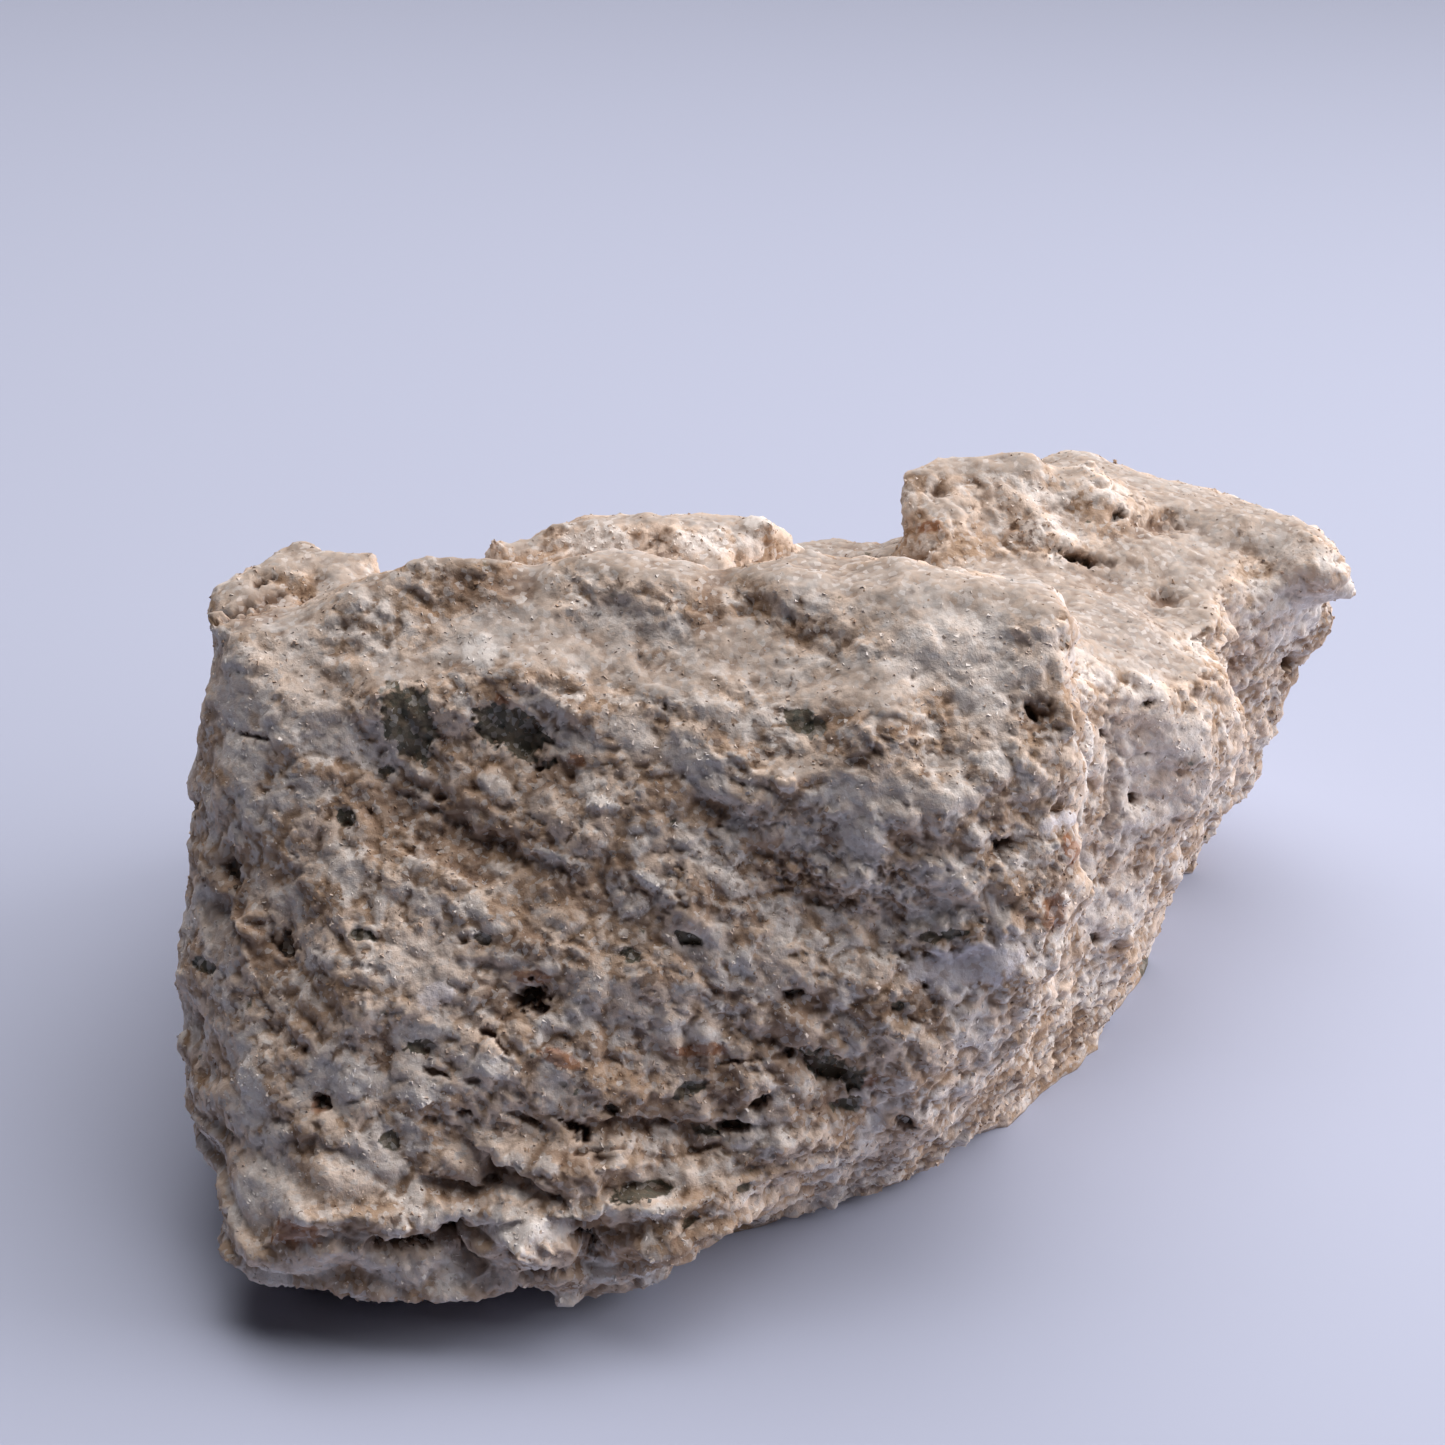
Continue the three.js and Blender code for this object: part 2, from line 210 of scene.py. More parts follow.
slits = {
    "grainSlit": (435, 1072, 1.5, 0.35, -15, 1.3),
    "grainSlitSmall": (470, 1081, 1.0, 0.4, 10, 1.2),
    "twinSlit": (465, 1115, 0.9, 0.35, 5, 1.2),
    "dropSlit": (525, 1120, 2.8, 0.4, -22, 1.4),
    "fanCrack": (500, 1045, 1.5, 0.35, -45, 1.3),
    "fanCrackTop": (488, 1032, 1.0, 0.35, -15, 1.2),
    "ledgeCleft": (490, 1180, 0.3, 1.3, 85, 1.2),
    "ledgeCleftRight": (550, 1192, 0.35, 1.7, 85, 1.4),
    "ledgeSeam": (455, 1178, 2.3, 0.3, -20, 1.0),
    "shoulderSeam": (250, 735, 3.2, 0.35, -12, 0.9),
    "cornerSlit": (270, 598, 2.5, 0.4, 20, 1.2),
    "cornerSlitLow": (245, 608, 2.1, 0.3, 25, 1.0),
    "rimCrack": (857, 557, 3.8, 0.5, 4, 1.4),
    "shelfSlit": (1225, 650, 2.5, 0.6, 35, 1.1),
    "shelfSlitLow": (1212, 675, 1.7, 0.5, -15, 1.0),
    "shelfSlitHigh": (1200, 635, 1.9, 0.5, 40, 1.0),
    "middleSeam": (760, 1060, 3.8, 0.3, 4, 0.9),
    "lowSeamLeft": (600, 1150, 2.8, 0.3, 5, 0.9),
    "lowSeamRight": (700, 1150, 2.8, 0.3, 15, 0.8),
}

darkLenses = {
    "greenPatch": (408, 722, 2.6, 3.6, 15, 0.3),
    "greenLens": (514, 733, 4.0, 2.1, -32, 0.5),
    "bandLens": (687, 938, 1.4, 0.7, -20, 0.4),
    "rhombGrain": (345, 816, 1.0, 0.8, -10, 0.4),
    "speckHigh": (385, 770, 0.9, 0.5, 20, 0.4),
    "speckLow": (362, 935, 1.2, 0.6, -10, 0.5),
    "tiltedLens": (690, 1088, 2.0, 0.6, 25, 0.4),
    "rustyLens": (835, 1066, 3.8, 1.5, -25, 0.6),
    "rustyLensFoot": (850, 1104, 1.5, 0.7, 20, 0.4),
    "ochreSpeck": (390, 1142, 1.1, 0.8, -30, 0.4),
    "pitNeighbour": (632, 955, 1.3, 0.7, -20, 0.4),
    "slitNeighbour": (705, 1132, 1.2, 0.5, -10, 0.5),
    "footSpeck": (745, 1188, 0.9, 0.4, 15, 0.3),
    "footSpeckLow": (690, 1222, 0.9, 0.4, 25, 0.3),
    "stripSpeck": (900, 1007, 0.8, 0.6, 0, 0.4),
    "cheekLens": (200, 965, 1.6, 0.7, -10, 0.4),
    "oliveLens": (420, 1047, 1.4, 0.7, 15, 0.3),
    "darkGranular": (640, 1192, 2.8, 0.9, 10, 0.4),
    "cornerSpeck": (1145, 965, 1.1, 0.8, 20, 0.2),
    "bandSpeck": (480, 938, 1.1, 0.5, -20, 0.3),
    "cleavageRoof": (940, 935, 2.6, 0.5, 8, 0.4),
    # browShade is painted shade under the brow, laid as a dark mark
    "browShade": (800, 720, 2.2, 1.2, -20, 0.2),
}

rustStains = {
    "redGrain": (575, 760, 1.4, 0.8, -20),
    "orangeSpot": (870, 1080, 0.9, 0.7, 0),
    "lensRust": (850, 1078, 3.0, 0.6, -25),
    "pitOchre": (320, 1103, 1.1, 1.0, 0),
    "sideRust": (1070, 850, 0.8, 1.9, 15),
    "pitBrow": (530, 978, 2.2, 1.0, 0),
    "lobeRust": (930, 527, 2.2, 0.8, 0),
    "brownGranular": (1055, 915, 1.6, 2.0, 0),
    "lensCrackRust": (500, 700, 1.0, 0.7, -30),
    "footBrown": (290, 1235, 3.4, 1.8, 0),
    "middleTan": (700, 1050, 3.6, 0.8, 0),
    "oilyTan": (560, 1060, 2.8, 0.9, -20),
}

cleavages = {
    "lavenderPlate": (968, 965, 6.0, 2.4, 8, 0.3),
    "cornerPlate": (1062, 822, 2.4, 0.8, 15, 0.3),
    "greyWindow": (435, 995, 2.0, 1.1, 8, 0.2),
}

whiteCrystals = {
    "whiteRidge": (605, 803, 3.0, 1.0, -10, 0.7),
    "crustLeft": (600, 540, 5.5, 2.4, 0, 0.6),
    "crustMiddle": (700, 545, 4.6, 2.0, 0, 0.5),
    "crustBlock": (758, 525, 1.8, 1.5, 0, 0.7),
    "cheekDrift": (250, 1085, 2.2, 3.0, 20, 0.5),
    "lowDrift": (352, 1085, 2.6, 1.9, -20, 0.5),
    "lowDriftRight": (420, 1095, 2.6, 1.7, 10, 0.5),
    "pitLedge": (490, 1065, 2.9, 1.4, -15, 0.5),
    "ledgeSugar": (530, 1235, 4.0, 1.9, 0, 0.7),
    "pitRim": (545, 1020, 1.4, 0.7, 20, 0.6),
    "grapeLeft": (600, 1265, 2.2, 1.6, 0, 0.5),
    "grapeRight": (650, 1275, 2.2, 1.6, 0, 0.5),
    "lowWhite": (660, 1210, 2.8, 1.2, 10, 0.6),
    "midWhite": (740, 960, 2.0, 2.2, 0, 0.3),
    "bandWhite": (650, 880, 2.5, 1.2, -30, 0.3),
    "edgeRim": (1082, 760, 1.0, 9.5, 0, 0.9),
    "shoulderWhite": (480, 650, 2.4, 2.4, -40, 0.3),
}

paleZones = {  # paler patches: partly paler stone with less stain, partly painted light where the front lies in shade; the last value is how much
    "leftShoulder": (265, 700, 6.5, 8.0, 0, 0.7),
    "topLeft": (470, 645, 3.5, 4.0, -30, 0.8),
    "topMiddle": (615, 620, 5.0, 2.6, -10, 0.7),
    "beforeLens": (630, 725, 4.5, 2.4, -35, 0.7),
    "middleRidge": (690, 765, 4.5, 2.4, -35, 0.6),
    "frontRight": (935, 655, 10.0, 6.0, -8, 1.0),
    "brow": (935, 800, 6.0, 1.6, 10, 1.0),
    "edgeRight": (1050, 640, 3.0, 4.0, 0, 0.8),
    "rightFace": (1150, 770, 6.5, 9.0, 0, 1.0),
    "rightFaceLow": (1120, 900, 3.0, 6.0, -20, 0.7),
    "lobeSide": (1285, 590, 7.0, 6.0, 20, 1.0),
    "lobeTop": (1010, 490, 8.0, 3.0, 0, 0.5),
    "middleWhite": (640, 1005, 4.5, 1.8, -15, 0.9),
    "middleLow": (770, 970, 3.0, 3.0, 0, 0.5),
    "greyWindowRim": (430, 965, 4.5, 3.5, 0, 0.7),
    "cheekWhite": (330, 860, 3.0, 3.0, -30, 0.7),
    "driftLeft": (250, 1085, 3.0, 4.0, 0, 0.7),
    "driftMiddle": (375, 1080, 6.0, 2.4, -5, 0.9),
    "driftRight": (490, 1065, 3.5, 1.8, -15, 0.8),
    "lowMiddle": (360, 1165, 4.5, 2.2, 0, 0.6),
    "lipWhite": (525, 1232, 4.0, 2.2, 0, 0.9),
    "footWhite": (665, 1185, 4.0, 2.0, 10, 0.7),
    "shoulderStreak": (240, 720, 3.0, 7.0, 0, 1.0),
    "overLens": (560, 715, 4.0, 1.8, -25, 1.0),
    "topSlant": (640, 615, 5.0, 1.8, -30, 1.0),
    "slantMiddle": (720, 785, 5.0, 1.8, -35, 1.0),
    "frontCorner": (985, 700, 3.5, 6.5, 20, 1.0),
    "browBright": (905, 815, 3.0, 1.8, 0, 1.0),
    "browFoot": (940, 875, 3.5, 2.2, -20, 1.0),
    "leftFoot": (260, 1185, 5.0, 4.5, 0, 0.9),
    "cheekLight": (212, 920, 2.5, 5.0, 0, 0.6),
    "lensRight": (590, 742, 3.0, 2.0, -30, 1.0),
    "upperSide": (1150, 730, 3.5, 4.5, 0, 1.0),
    "sideEdge": (1090, 930, 1.8, 5.5, -15, 1.0),
    "lowBright": (400, 1040, 3.0, 1.6, -20, 0.9),
    "lowBrightEdge": (240, 1110, 3.0, 2.4, 0, 1.0),
    "rightBright": (875, 1120, 1.2, 4.5, -10, 0.8),
    "bandUpper": (640, 738, 9.5, 2.2, -25, 1.0),
    "upperPatch": (595, 615, 4.0, 2.0, -10, 1.0),
    "leftWall": (245, 760, 3.0, 8.0, 0, 1.0),
    "lowLeftPatch": (420, 1030, 5.0, 2.2, -10, 1.0),
    "pitFoot": (555, 1085, 2.4, 2.4, 0, 0.9),
    "footLeft": (400, 1265, 11.5, 2.8, 2, 0.9),
    "slabLight": (465, 1180, 3.6, 1.2, 0, 0.8),
    "browMiddle": (885, 800, 5.5, 4.5, 0, 1.0),
    "plateTop": (950, 915, 5.0, 2.2, 5, 1.0),
    "lobeEdge": (1295, 590, 3.0, 4.0, 20, 1.0),
    "lensLeft": (340, 722, 4.0, 2.2, -10, 1.0),
    "cheekTop": (285, 910, 3.2, 2.4, -30, 1.0),
    "bandRight": (870, 845, 6.5, 2.4, -20, 1.0),
    "lowBand": (330, 1090, 5.0, 3.0, 0, 0.9),
    "middlePatch": (700, 945, 3.2, 2.6, 0, 0.9),
}

brownZones = {  # brown troughs: partly iron stain, partly painted shade where the front lies in shadow; the last value is how deep
    "longTrough": (450, 835, 10.5, 3.0, -28, 0.45),
    "lensTrough": (645, 1125, 6.0, 2.8, 8, 0.5),
    "cheekTrough": (265, 940, 4.2, 2.4, -55, 0.4),
    "topStreak": (712, 610, 1.8, 4.6, -8, 0.25),
    "lipTrough": (400, 1240, 7.0, 2.0, 3, 0.45),
    "footTrough": (600, 1285, 2.6, 1.4, 0, 0.3),
    "footTroughRight": (690, 1243, 3.4, 1.8, 22, 0.35),
    "rustyTrough": (775, 1062, 3.6, 2.2, -5, 0.2),
    "cornerHollow": (1064, 845, 1.8, 4.2, -12, 0.5),
    "browShadow": (905, 728, 3.2, 1.3, -5, 0.15),
    "topBrown": (480, 590, 6.5, 2.2, 8, 0.05),
    "edgePitShade": (1030, 720, 2.8, 3.0, 0, 0.2),
    "lipShade": (555, 1155, 3.0, 1.3, -10, 0.2),
    "middleShade": (620, 860, 4.0, 1.6, -25, 0.15),
    "topLeftRim": (275, 597, 4.0, 1.2, 12, 0.1),
    "rimDip": (380, 588, 2.2, 1.2, 0, 0.1),
    "troughStart": (385, 805, 5.0, 2.2, -35, 0.2),
    "troughEnd": (560, 885, 5.0, 2.6, -35, 0.2),
    "lensFoot": (570, 775, 4.5, 1.4, -15, 0.2),
    "cheekEdge": (225, 900, 2.6, 5.5, 0, 0.3),
    "middleDark": (530, 945, 4.0, 2.4, -20, 0.15),
    "lensDark": (650, 1140, 4.5, 3.2, 0, 0.4),
    "lensRow": (720, 1065, 6.0, 1.8, 0, 0.2),
    "rustyDark": (830, 1100, 3.5, 2.6, -10, 0.2),
    "slabShade": (470, 1180, 5.0, 1.6, 5, 0.15),
    "lowLeftDark": (310, 1150, 2.4, 3.6, 0, 0.2),
    "endUnder": (1293, 682, 2.8, 4.0, 40, 0.2),
    "leftCorner": (250, 612, 4.0, 1.5, 15, 0.2),
    "stripDark": (990, 1098, 8.0, 3.0, 36, 0.1),
    "stripFar": (1075, 1040, 3.0, 2.4, 50, 0.1),
    "lobeShade": (1150, 524, 3.8, 1.3, 5, 0.2),
    "midDark": (705, 900, 3.0, 2.4, -20, 0.2),
    "rowShade": (800, 1020, 3.4, 3.0, 0, 0.2),
    "underPit": (500, 1000, 2.4, 1.6, -30, 0.2),
    "upperTrough": (455, 855, 7.5, 2.0, -28, 0.2),
    "lensBand": (560, 782, 7.0, 1.2, -14, 0.1),
    "cheekDark": (255, 935, 2.6, 2.0, -30, 0.2),
    "shoulderSpot": (460, 665, 1.8, 1.2, 0, 0.1),
    "lowSpots": (645, 1145, 3.0, 1.6, 0, 0.3),
    "cornerFoot": (225, 1260, 1.6, 3.6, 20, 0.2),
    "cleavageShade": (900, 1010, 5.0, 1.4, 5, 0.15),
}

dents = {  # shallow hollows with soft edges
    "lobeHollow": (1160, 524, 3.6, 1.8, 0, 1.1),
    "lobeNotch": (937, 492, 1.4, 1.0, 20, 0.9),
    "lobeDip": (1085, 560, 4.0, 0.8, -8, 0.9),
    "shelfPit": (1165, 593, 2.2, 1.3, 0, 1.0),
    "shelfGroove": (1215, 640, 2.6, 1.0, 35, 0.9),
    "sideHollow": (1290, 665, 1.8, 1.6, 40, 1.0),
    "upperDip": (1035, 715, 2.4, 1.8, 40, 0.8),
    "browHollow": (1000, 850, 2.0, 1.6, 10, 0.8),
    "edgeStep": (1112, 790, 1.4, 9.5, 2, 0.9),
}

greyZones = {  # clear grey crystal, and grey painted shade on the shelf and lobe tops; the last value is how much
    "bluePlate": (545, 805, 2.0, 1.5, -35, 0.9),
    "shoulderPlate": (330, 705, 1.4, 2.4, 10, 0.7),
    "cheekPlate": (265, 905, 1.6, 0.8, -35, 0.7),
    "shelf": (1140, 625, 6.5, 4.2, 0, 1.0),
    "shelfBack": (1215, 585, 5.0, 3.0, -15, 0.7),
    "lobeEnd": (1290, 545, 4.0, 3.0, 0, 0.5),
    "window": (435, 995, 3.0, 2.0, 8, 0.8),
    "upperLeft": (330, 690, 2.4, 4.0, 10, 0.6),
    "beforeTop": (640, 650, 2.4, 2.2, 0, 0.5),
    "edgeTop": (1040, 610, 3.0, 2.4, 0, 0.5),
    "lowMiddle": (600, 1010, 3.0, 1.5, 0, 0.5),
    "strip": (1000, 1050, 4.0, 1.8, 35, 0.5),
}

tanStains = {  # ochre dust along the upper rim and in a few patches
    "rimLeft": (300, 590, 5.0, 1.3, 4),
    "rimDip": (375, 580, 3.5, 1.3, 25),
    "rimMiddle": (470, 560, 6.0, 1.4, 5),
    "rimLong": (610, 568, 7.0, 1.3, -4),
    "rimRight": (730, 572, 5.0, 1.5, 0),
    "rimBack": (830, 560, 5.0, 1.4, 3),
    "rimCorner": (950, 555, 7.0, 1.4, -3),
    "edgeCrest": (1040, 578, 3.5, 1.2, -8),
    "topLump": (300, 545, 4.5, 1.0, 0),
    "pitEdge": (545, 1010, 2.4, 1.8, 0),
    "slabTan": (560, 1180, 3.2, 1.2, 0),
    "cornerTan": (1068, 840, 1.2, 3.4, -10),
    "stripTan": (880, 1010, 3.0, 1.2, 10),
    "sideTan": (1120, 670, 1.2, 2.0, 0),
    "lowTan": (270, 1245, 2.6, 2.0, 0),
    "footTan": (700, 1235, 4.0, 1.5, 20),
}

swells = {  # places that stand a little proud
    "middleRidge": (745, 800, 5.0, 2.2, -30, 0.9),
    "troughFill": (850, 880, 8.0, 2.6, -10, 1.2),
    "plateFill": (955, 935, 6.0, 2.6, 5, 1.0),
    "middleFill": (690, 905, 4.0, 2.4, -35, 0.7),
    "browSwell": (905, 818, 3.2, 2.0, 0, 0.8),
    "browFoot": (950, 872, 3.4, 2.0, -20, 0.7),
    "footLip": (400, 1288, 14.0, 1.8, 1, 0.7),
    "lensRim": (570, 712, 4.0, 1.4, -25, 0.6),
}

brows = {  # broad overhangs with a dark hollow beneath
    "longBrow": (500, 800, 9.5, 2.6, -25, 0.45),
    "lensBrow": (650, 1092, 5.5, 2.2, -3, 0.72),
    "cheekBrow": (245, 875, 4.2, 2.6, -50, 0.72),
    "rustyBrow": (830, 1040, 4.2, 1.7, -22, 0.54),
    "rightBrow": (905, 695, 3.6, 1.7, -5, 0.48),
    "lowBrow": (330, 1120, 3.4, 1.8, -10, 0.48),
}

sugarLips = {  # slabs that swell out to a scalloped lower edge and drop back under it
    "highSlab": (455, 1160, 2.6, 1.5, -12, 0.9),
    "highSlope": (520, 1145, 4.4, 1.8, -32, 1.1),
    "middleSlab": (440, 1205, 7.0, 1.9, 8, 1.2),
    "cleftSlab": (575, 1190, 2.2, 1.8, 0, 1.0),
    "lowSlab": (512, 1232, 4.4, 2.0, 4, 1.5),
    "rightSlab": (650, 1195, 4.2, 1.8, 12, 1.0),
    "footSlab": (700, 1225, 4.2, 1.2, 24, 0.7),
}


# The stone

stone = {
    "seed": 7,  # for the noise that bends the crystal masses and the outlines of pores
    "cuts": 2,
    "roundings": 2,  # smoothing rounds after each cut of the faces
    "roundingShare": 0.5,
    "flatFoot": 0.05,  # places below this height stay where they are
    "joinWithin": 0.0005,
    "facing": 0.12,  # faces turned this far to the camera are cut once more
    "mostFaces": 197000,
    "grainTurn": -35,  # the way the relief runs on the front, in degrees
    "grainStretch": 0.6,
    "breakWidth": 6.5,  # broken surface: widest lump, in millimetres, as are the rest
    "breakHeight": 0.75,
    "breakNoise": (0.75, 2.2, 4),  # smoothness, step between octaves and their number
    "hackleWidth": 1.8,  # sharp broken ridges
    "hackleHeight": 0.42,
    "hackleNoise": (0.7, 2.1, 3),
    "lumpWidth": 3.4,  # rounded crystal masses, parted by creases
    "lumpHeight": 0.7,
    "lumpOctaves": 3,
    "lumpShare": 1.4,  # of the widest; each finer octave has these parts of the last one's
    "lumpFiner": 0.45,
    "lumpFainter": 0.5,
    "lumpMiddle": 0.45,
    "lumpSandLoss": 0.5,
    "lumpBend": 0.9,
    "lumpBendWidth": 3.0,
    "gritWidth": 0.8,  # sandy patches, this high, and smoother ones between them
    "gritHeight": 0.26,
    "gritLeast": 0.06,
    "gritNoise": (0.5, 2.1, 2),
    "sandyPatch": 5.5,
    "sandyNoise": (0.8, 2.2, 2),
    "sandyShift": (4, 8, 2),  # keeps the patches apart from the other relief
    "sandyEdge": 2.6,  # how sharply the patches end
    "sandyShare": 0.45,  # more than 0: more of the stone is sandy
    "poreWidth": 2.6,  # small pores, in a share of the cells of this width
    "poreShare": 0.1,
    "poreDepth": 0.6,
    "poreSize": (0.1, 0.3),  # least and most, as shares of a cell
    "poreBend": (0.8, 0.35),  # width and size of the wobble in a pore's outline
    "speckWidth": 1.4,  # dark mineral specks, found the same way
    "speckShare": 0.3,
    "speckSize": (0.12, 0.3),
    "speckClean": 0.3,  # how dark specks are on the smoother crystal
    "calmTop": 0.7,  # how much of the fine relief is lost where the stone faces up
    "topTurn": (0.7, 0.25),  # where that begins, and over how much more turning it grows
    "calmLeft": 0.45,  # and where it faces left
    "leftTurn": (0.35, 0.3),
    "calmPale": 0.3,  # and in the paler zones
    "calmPlate": 0.85,  # and on the cleavage plates
    "paleSandLoss": 0.5,
    "footStart": 0.1,
    "footFade": 1.6,  # the relief fades out this far above the flat base
}

easing = {  # the broad troughs of the front are part filled before the marks are laid
    "spot": (620, 900, 33, 20, -8),
    "rounds": 22,
    "share": 0.6,
    "facing": (0.1, 0.5),  # how far towards the camera the surface must turn, from none to all
    "rim": 0.45,  # the spot fades out over this share of its width
    "rimRounds": 3,
}

layering = {  # what the lips and the bedding share
    "wobble": ((7, 1.6), (1.9, 0.35)),  # width and height of each wave in the layers
    "endFade": 5,
}

lips = {  # sugary ledges low on the left, with recesses under them
    "rightEnd": 4.0,
    "top": 17.0,
    "topFade": 4,
    "step": 3.4,
    "height": 0.88,
    "overhang": 0.75,  # the share of a step over which it swells, before it drops back
}

bedding = {  # thin parted layers along the foot on the right
    "leftEnd": -2.0,
    "top": 15.0,
    "topFade": 5,
    "step": 1.35,
    "height": 0.42,
    "overhang": 0.7,
}

flutes = {  # upright ribs on the right-hand side
    "width": 2.4,
    "length": 8.0,
    "height": 0.6,
    "middle": 0.25,
    "fineShare": 0.4,
    "finer": 2.3,
    "turn": (0.45, 0.3),
}

clouds = {  # patches of colour: width in millimetres, smoothness, octaves, where each begins and is full
    "stain": (6.0, 0.6, 5, -0.08, 0.3),
    "blotch": (3.4, 0.5, 5, -0.02, 0.26),
    "bits": (1.6, 0.6, 4, 0.16, 0.42),
}

markNames = ("calm", "cleft", "dent", "grey", "ochre", "stain", "blotch", "vein", "bits", "proud", "crease",
             "trough", "light", "pale", "rust", "hollow", "plate", "dark", "speck", "sandy")


def easeFront(bm):
    # part fills the troughs: each place moves some way to the mean of its neighbourhood
    point, normal = placeSeen(BVHTree.FromBMesh(bm), *easing["spot"][:2])
    places = np.array([v.co for v in bm.verts])
    edges = np.array([[v.index for v in e.verts] for e in bm.edges])
    facing = smoothStep(*easing["facing"], np.array([v.normal for v in bm.verts]) @ -np.array(sightAhead))
    inside = markShare(places, point, easing["spot"], 0)
    share = smoothStep(0, easing["rim"], inside) * facing * easing["share"]
    share = neighbourMean(share[:, None], edges, easing["rimRounds"])
    places += (neighbourMean(places, edges, easing["rounds"]) - places) * share
    for v, place in zip(bm.verts, places):
        v.co = place


def cutFiner():
    # the stone's own solid, merged, cut finer and rounded, in millimetres
    bm = bmesh.new()
    bm.from_mesh(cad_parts["calcite_rock"].data)
    bmesh.ops.scale(bm, verts=bm.verts, vec=(1 / mm,) * 3)
    bmesh.ops.remove_doubles(bm, verts=bm.verts, dist=stone["joinWithin"])
    easeFront(bm)
    for cut in range(stone["cuts"]):
        bmesh.ops.subdivide_edges(bm, edges=bm.edges, cuts=1, use_grid_fill=True)
        for turn in range(stone["roundings"]):
            loose = [v for v in bm.verts if v.co.z > stone["flatFoot"]]
            bmesh.ops.smooth_vert(bm, verts=loose, factor=stone["roundingShare"],
                                  use_axis_x=True, use_axis_y=True, use_axis_z=True)
    bm.normal_update()
    eye = Vector(shot["place"])
    seen = set()
    for face in bm.faces:
        if face.normal.dot((eye - face.calc_center_median()).normalized()) > stone["facing"]:
            seen.update(face.edges)
    bmesh.ops.subdivide_edges(bm, edges=list(seen), cuts=1, use_grid_fill=True)
    bmesh.ops.triangulate(bm, faces=[f for f in bm.faces if len(f.verts) > 3])
    bm.normal_update()
    return bm


def clampShare(value):
    return max(0.0, min(1.0, value))


def fadeIn(value, begin, span):
    return clampShare((value - begin) / span)


def ledge(share, overhang):
    # one step of a layered edge: it swells slowly and drops back sharply
    rise = share - math.floor(share)
    return min(rise / overhang, (1 - rise) / (1 - overhang)) - 0.5


def sandyAt(p):
    # 1 where the surface is sandy, 0 where it is smoother crystal
    patch = noise.fractal(p / stone["sandyPatch"] + Vector(stone["sandyShift"]), *stone["sandyNoise"])
    return clampShare(patch * stone["sandyEdge"] + stone["sandyShare"])


def lumpAt(p):
    # rounded crystal masses: 0 in the creases between them, about 1 on the highest
    bent = p + noise.noise_vector(p / stone["lumpBendWidth"]) * stone["lumpBend"]
    total = 0
    width = stone["lumpWidth"]
    share = stone["lumpShare"]
    for octave in range(stone["lumpOctaves"]):
        total += abs(noise.noise(bent / width)) * share
        width *= stone["lumpFiner"]
        share *= stone["lumpFainter"]
    return total


spotMix = 7.3  # spreads the cells' centres, so that neighbours draw different chances
spotEdge = 0.1  # the soft edge of a spot, as a share of a cell


def cellSpot(p, width, share, least, most):
    # 1 inside a small round spot that only some cells of this width hold
    far, cells = noise.voronoi(p / width)
    chance = (noise.cell(cells[0] * spotMix) * 0.5 + 0.5) / share
    if chance > 1:
        return 0.0
    return clampShare((least + (most - least) * chance - far[0]) / spotEdge)


def reliefAt(p, n, turn, lump, sandy):
    # height of the broken surface at one place
    q = turn @ p
    run = Vector((q.x * stone["grainStretch"], q.y, q.z))
    height = noise.fractal(run / stone["breakWidth"], *stone["breakNoise"]) * stone["breakHeight"]
    fine = (lump - stone["lumpMiddle"]) * stone["lumpHeight"] * (1 - stone["lumpSandLoss"] * sandy)
    fine -= abs(noise.fractal(run / stone["hackleWidth"], *stone["hackleNoise"])) * stone["hackleHeight"]
    gritHeight = stone["gritLeast"] + (stone["gritHeight"] - stone["gritLeast"]) * sandy
    fine += noise.fractal(p / stone["gritWidth"], *stone["gritNoise"]) * gritHeight
    bendWidth, bendSize = stone["poreBend"]
    bent = p + noise.noise_vector(p / bendWidth) * bendSize
    fine -= cellSpot(bent, stone["poreWidth"], stone["poreShare"], *stone["poreSize"]) * stone["poreDepth"]
    fine *= 1 - stone["calmLeft"] * fadeIn(-n.x, *stone["leftTurn"])
    height += fine * (1 - stone["calmTop"] * fadeIn(n.z, *stone["topTurn"]))
    wobble = sum(noise.noise(p / width) * size for width, size in layering["wobble"])
    if p.z < lips["top"] and p.x < lips["rightEnd"]:
        strength = fadeIn(-p.z, -lips["top"], lips["topFade"])
        strength *= fadeIn(-p.x, -lips["rightEnd"], layering["endFade"])
        height += ledge((p.z + wobble) / lips["step"], lips["overhang"]) * lips["height"] * strength
    if p.z < bedding["top"] and p.x > bedding["leftEnd"]:
        strength = fadeIn(-p.z, -bedding["top"], bedding["topFade"])
        strength *= fadeIn(p.x, bedding["leftEnd"], layering["endFade"])
        height += ledge((p.z + wobble) / bedding["step"], bedding["overhang"]) * bedding["height"] * strength
    side = fadeIn(n.x, *flutes["turn"])
    if side:
        upright = Vector((bent.x / flutes["width"], bent.y / flutes["width"], bent.z / flutes["length"]))
        rib = flutes["middle"] - abs(noise.noise(upright))
        rib -= flutes["fineShare"] * abs(noise.noise(upright * flutes["finer"]))
        height -= rib * flutes["height"] * side
    return height


markReach = (2.5, 1.5)  # how deep behind its middle a mark reaches: per half length, and in millimetres


def markShare(places, centre, spot, rough):
    # how far inside a mark each place is: 1 in its middle, 0 on its edge
    length, width, turn = spot[2:5]
    turn = math.radians(turn)
    along = sightRight * math.cos(turn) + sightUp * math.sin(turn)
    over = sightUp * math.cos(turn) - sightRight * math.sin(turn)
    offset = places - np.array(centre)
    reach = (offset @ np.array(along) / length) ** 2 + (offset @ np.array(over) / width) ** 2
    near = np.abs(offset @ np.array(sightAhead)) < markReach[0] * max(length, width) + markReach[1]
    return np.where(near, 1 - np.sqrt(reach) + rough, -1.0)


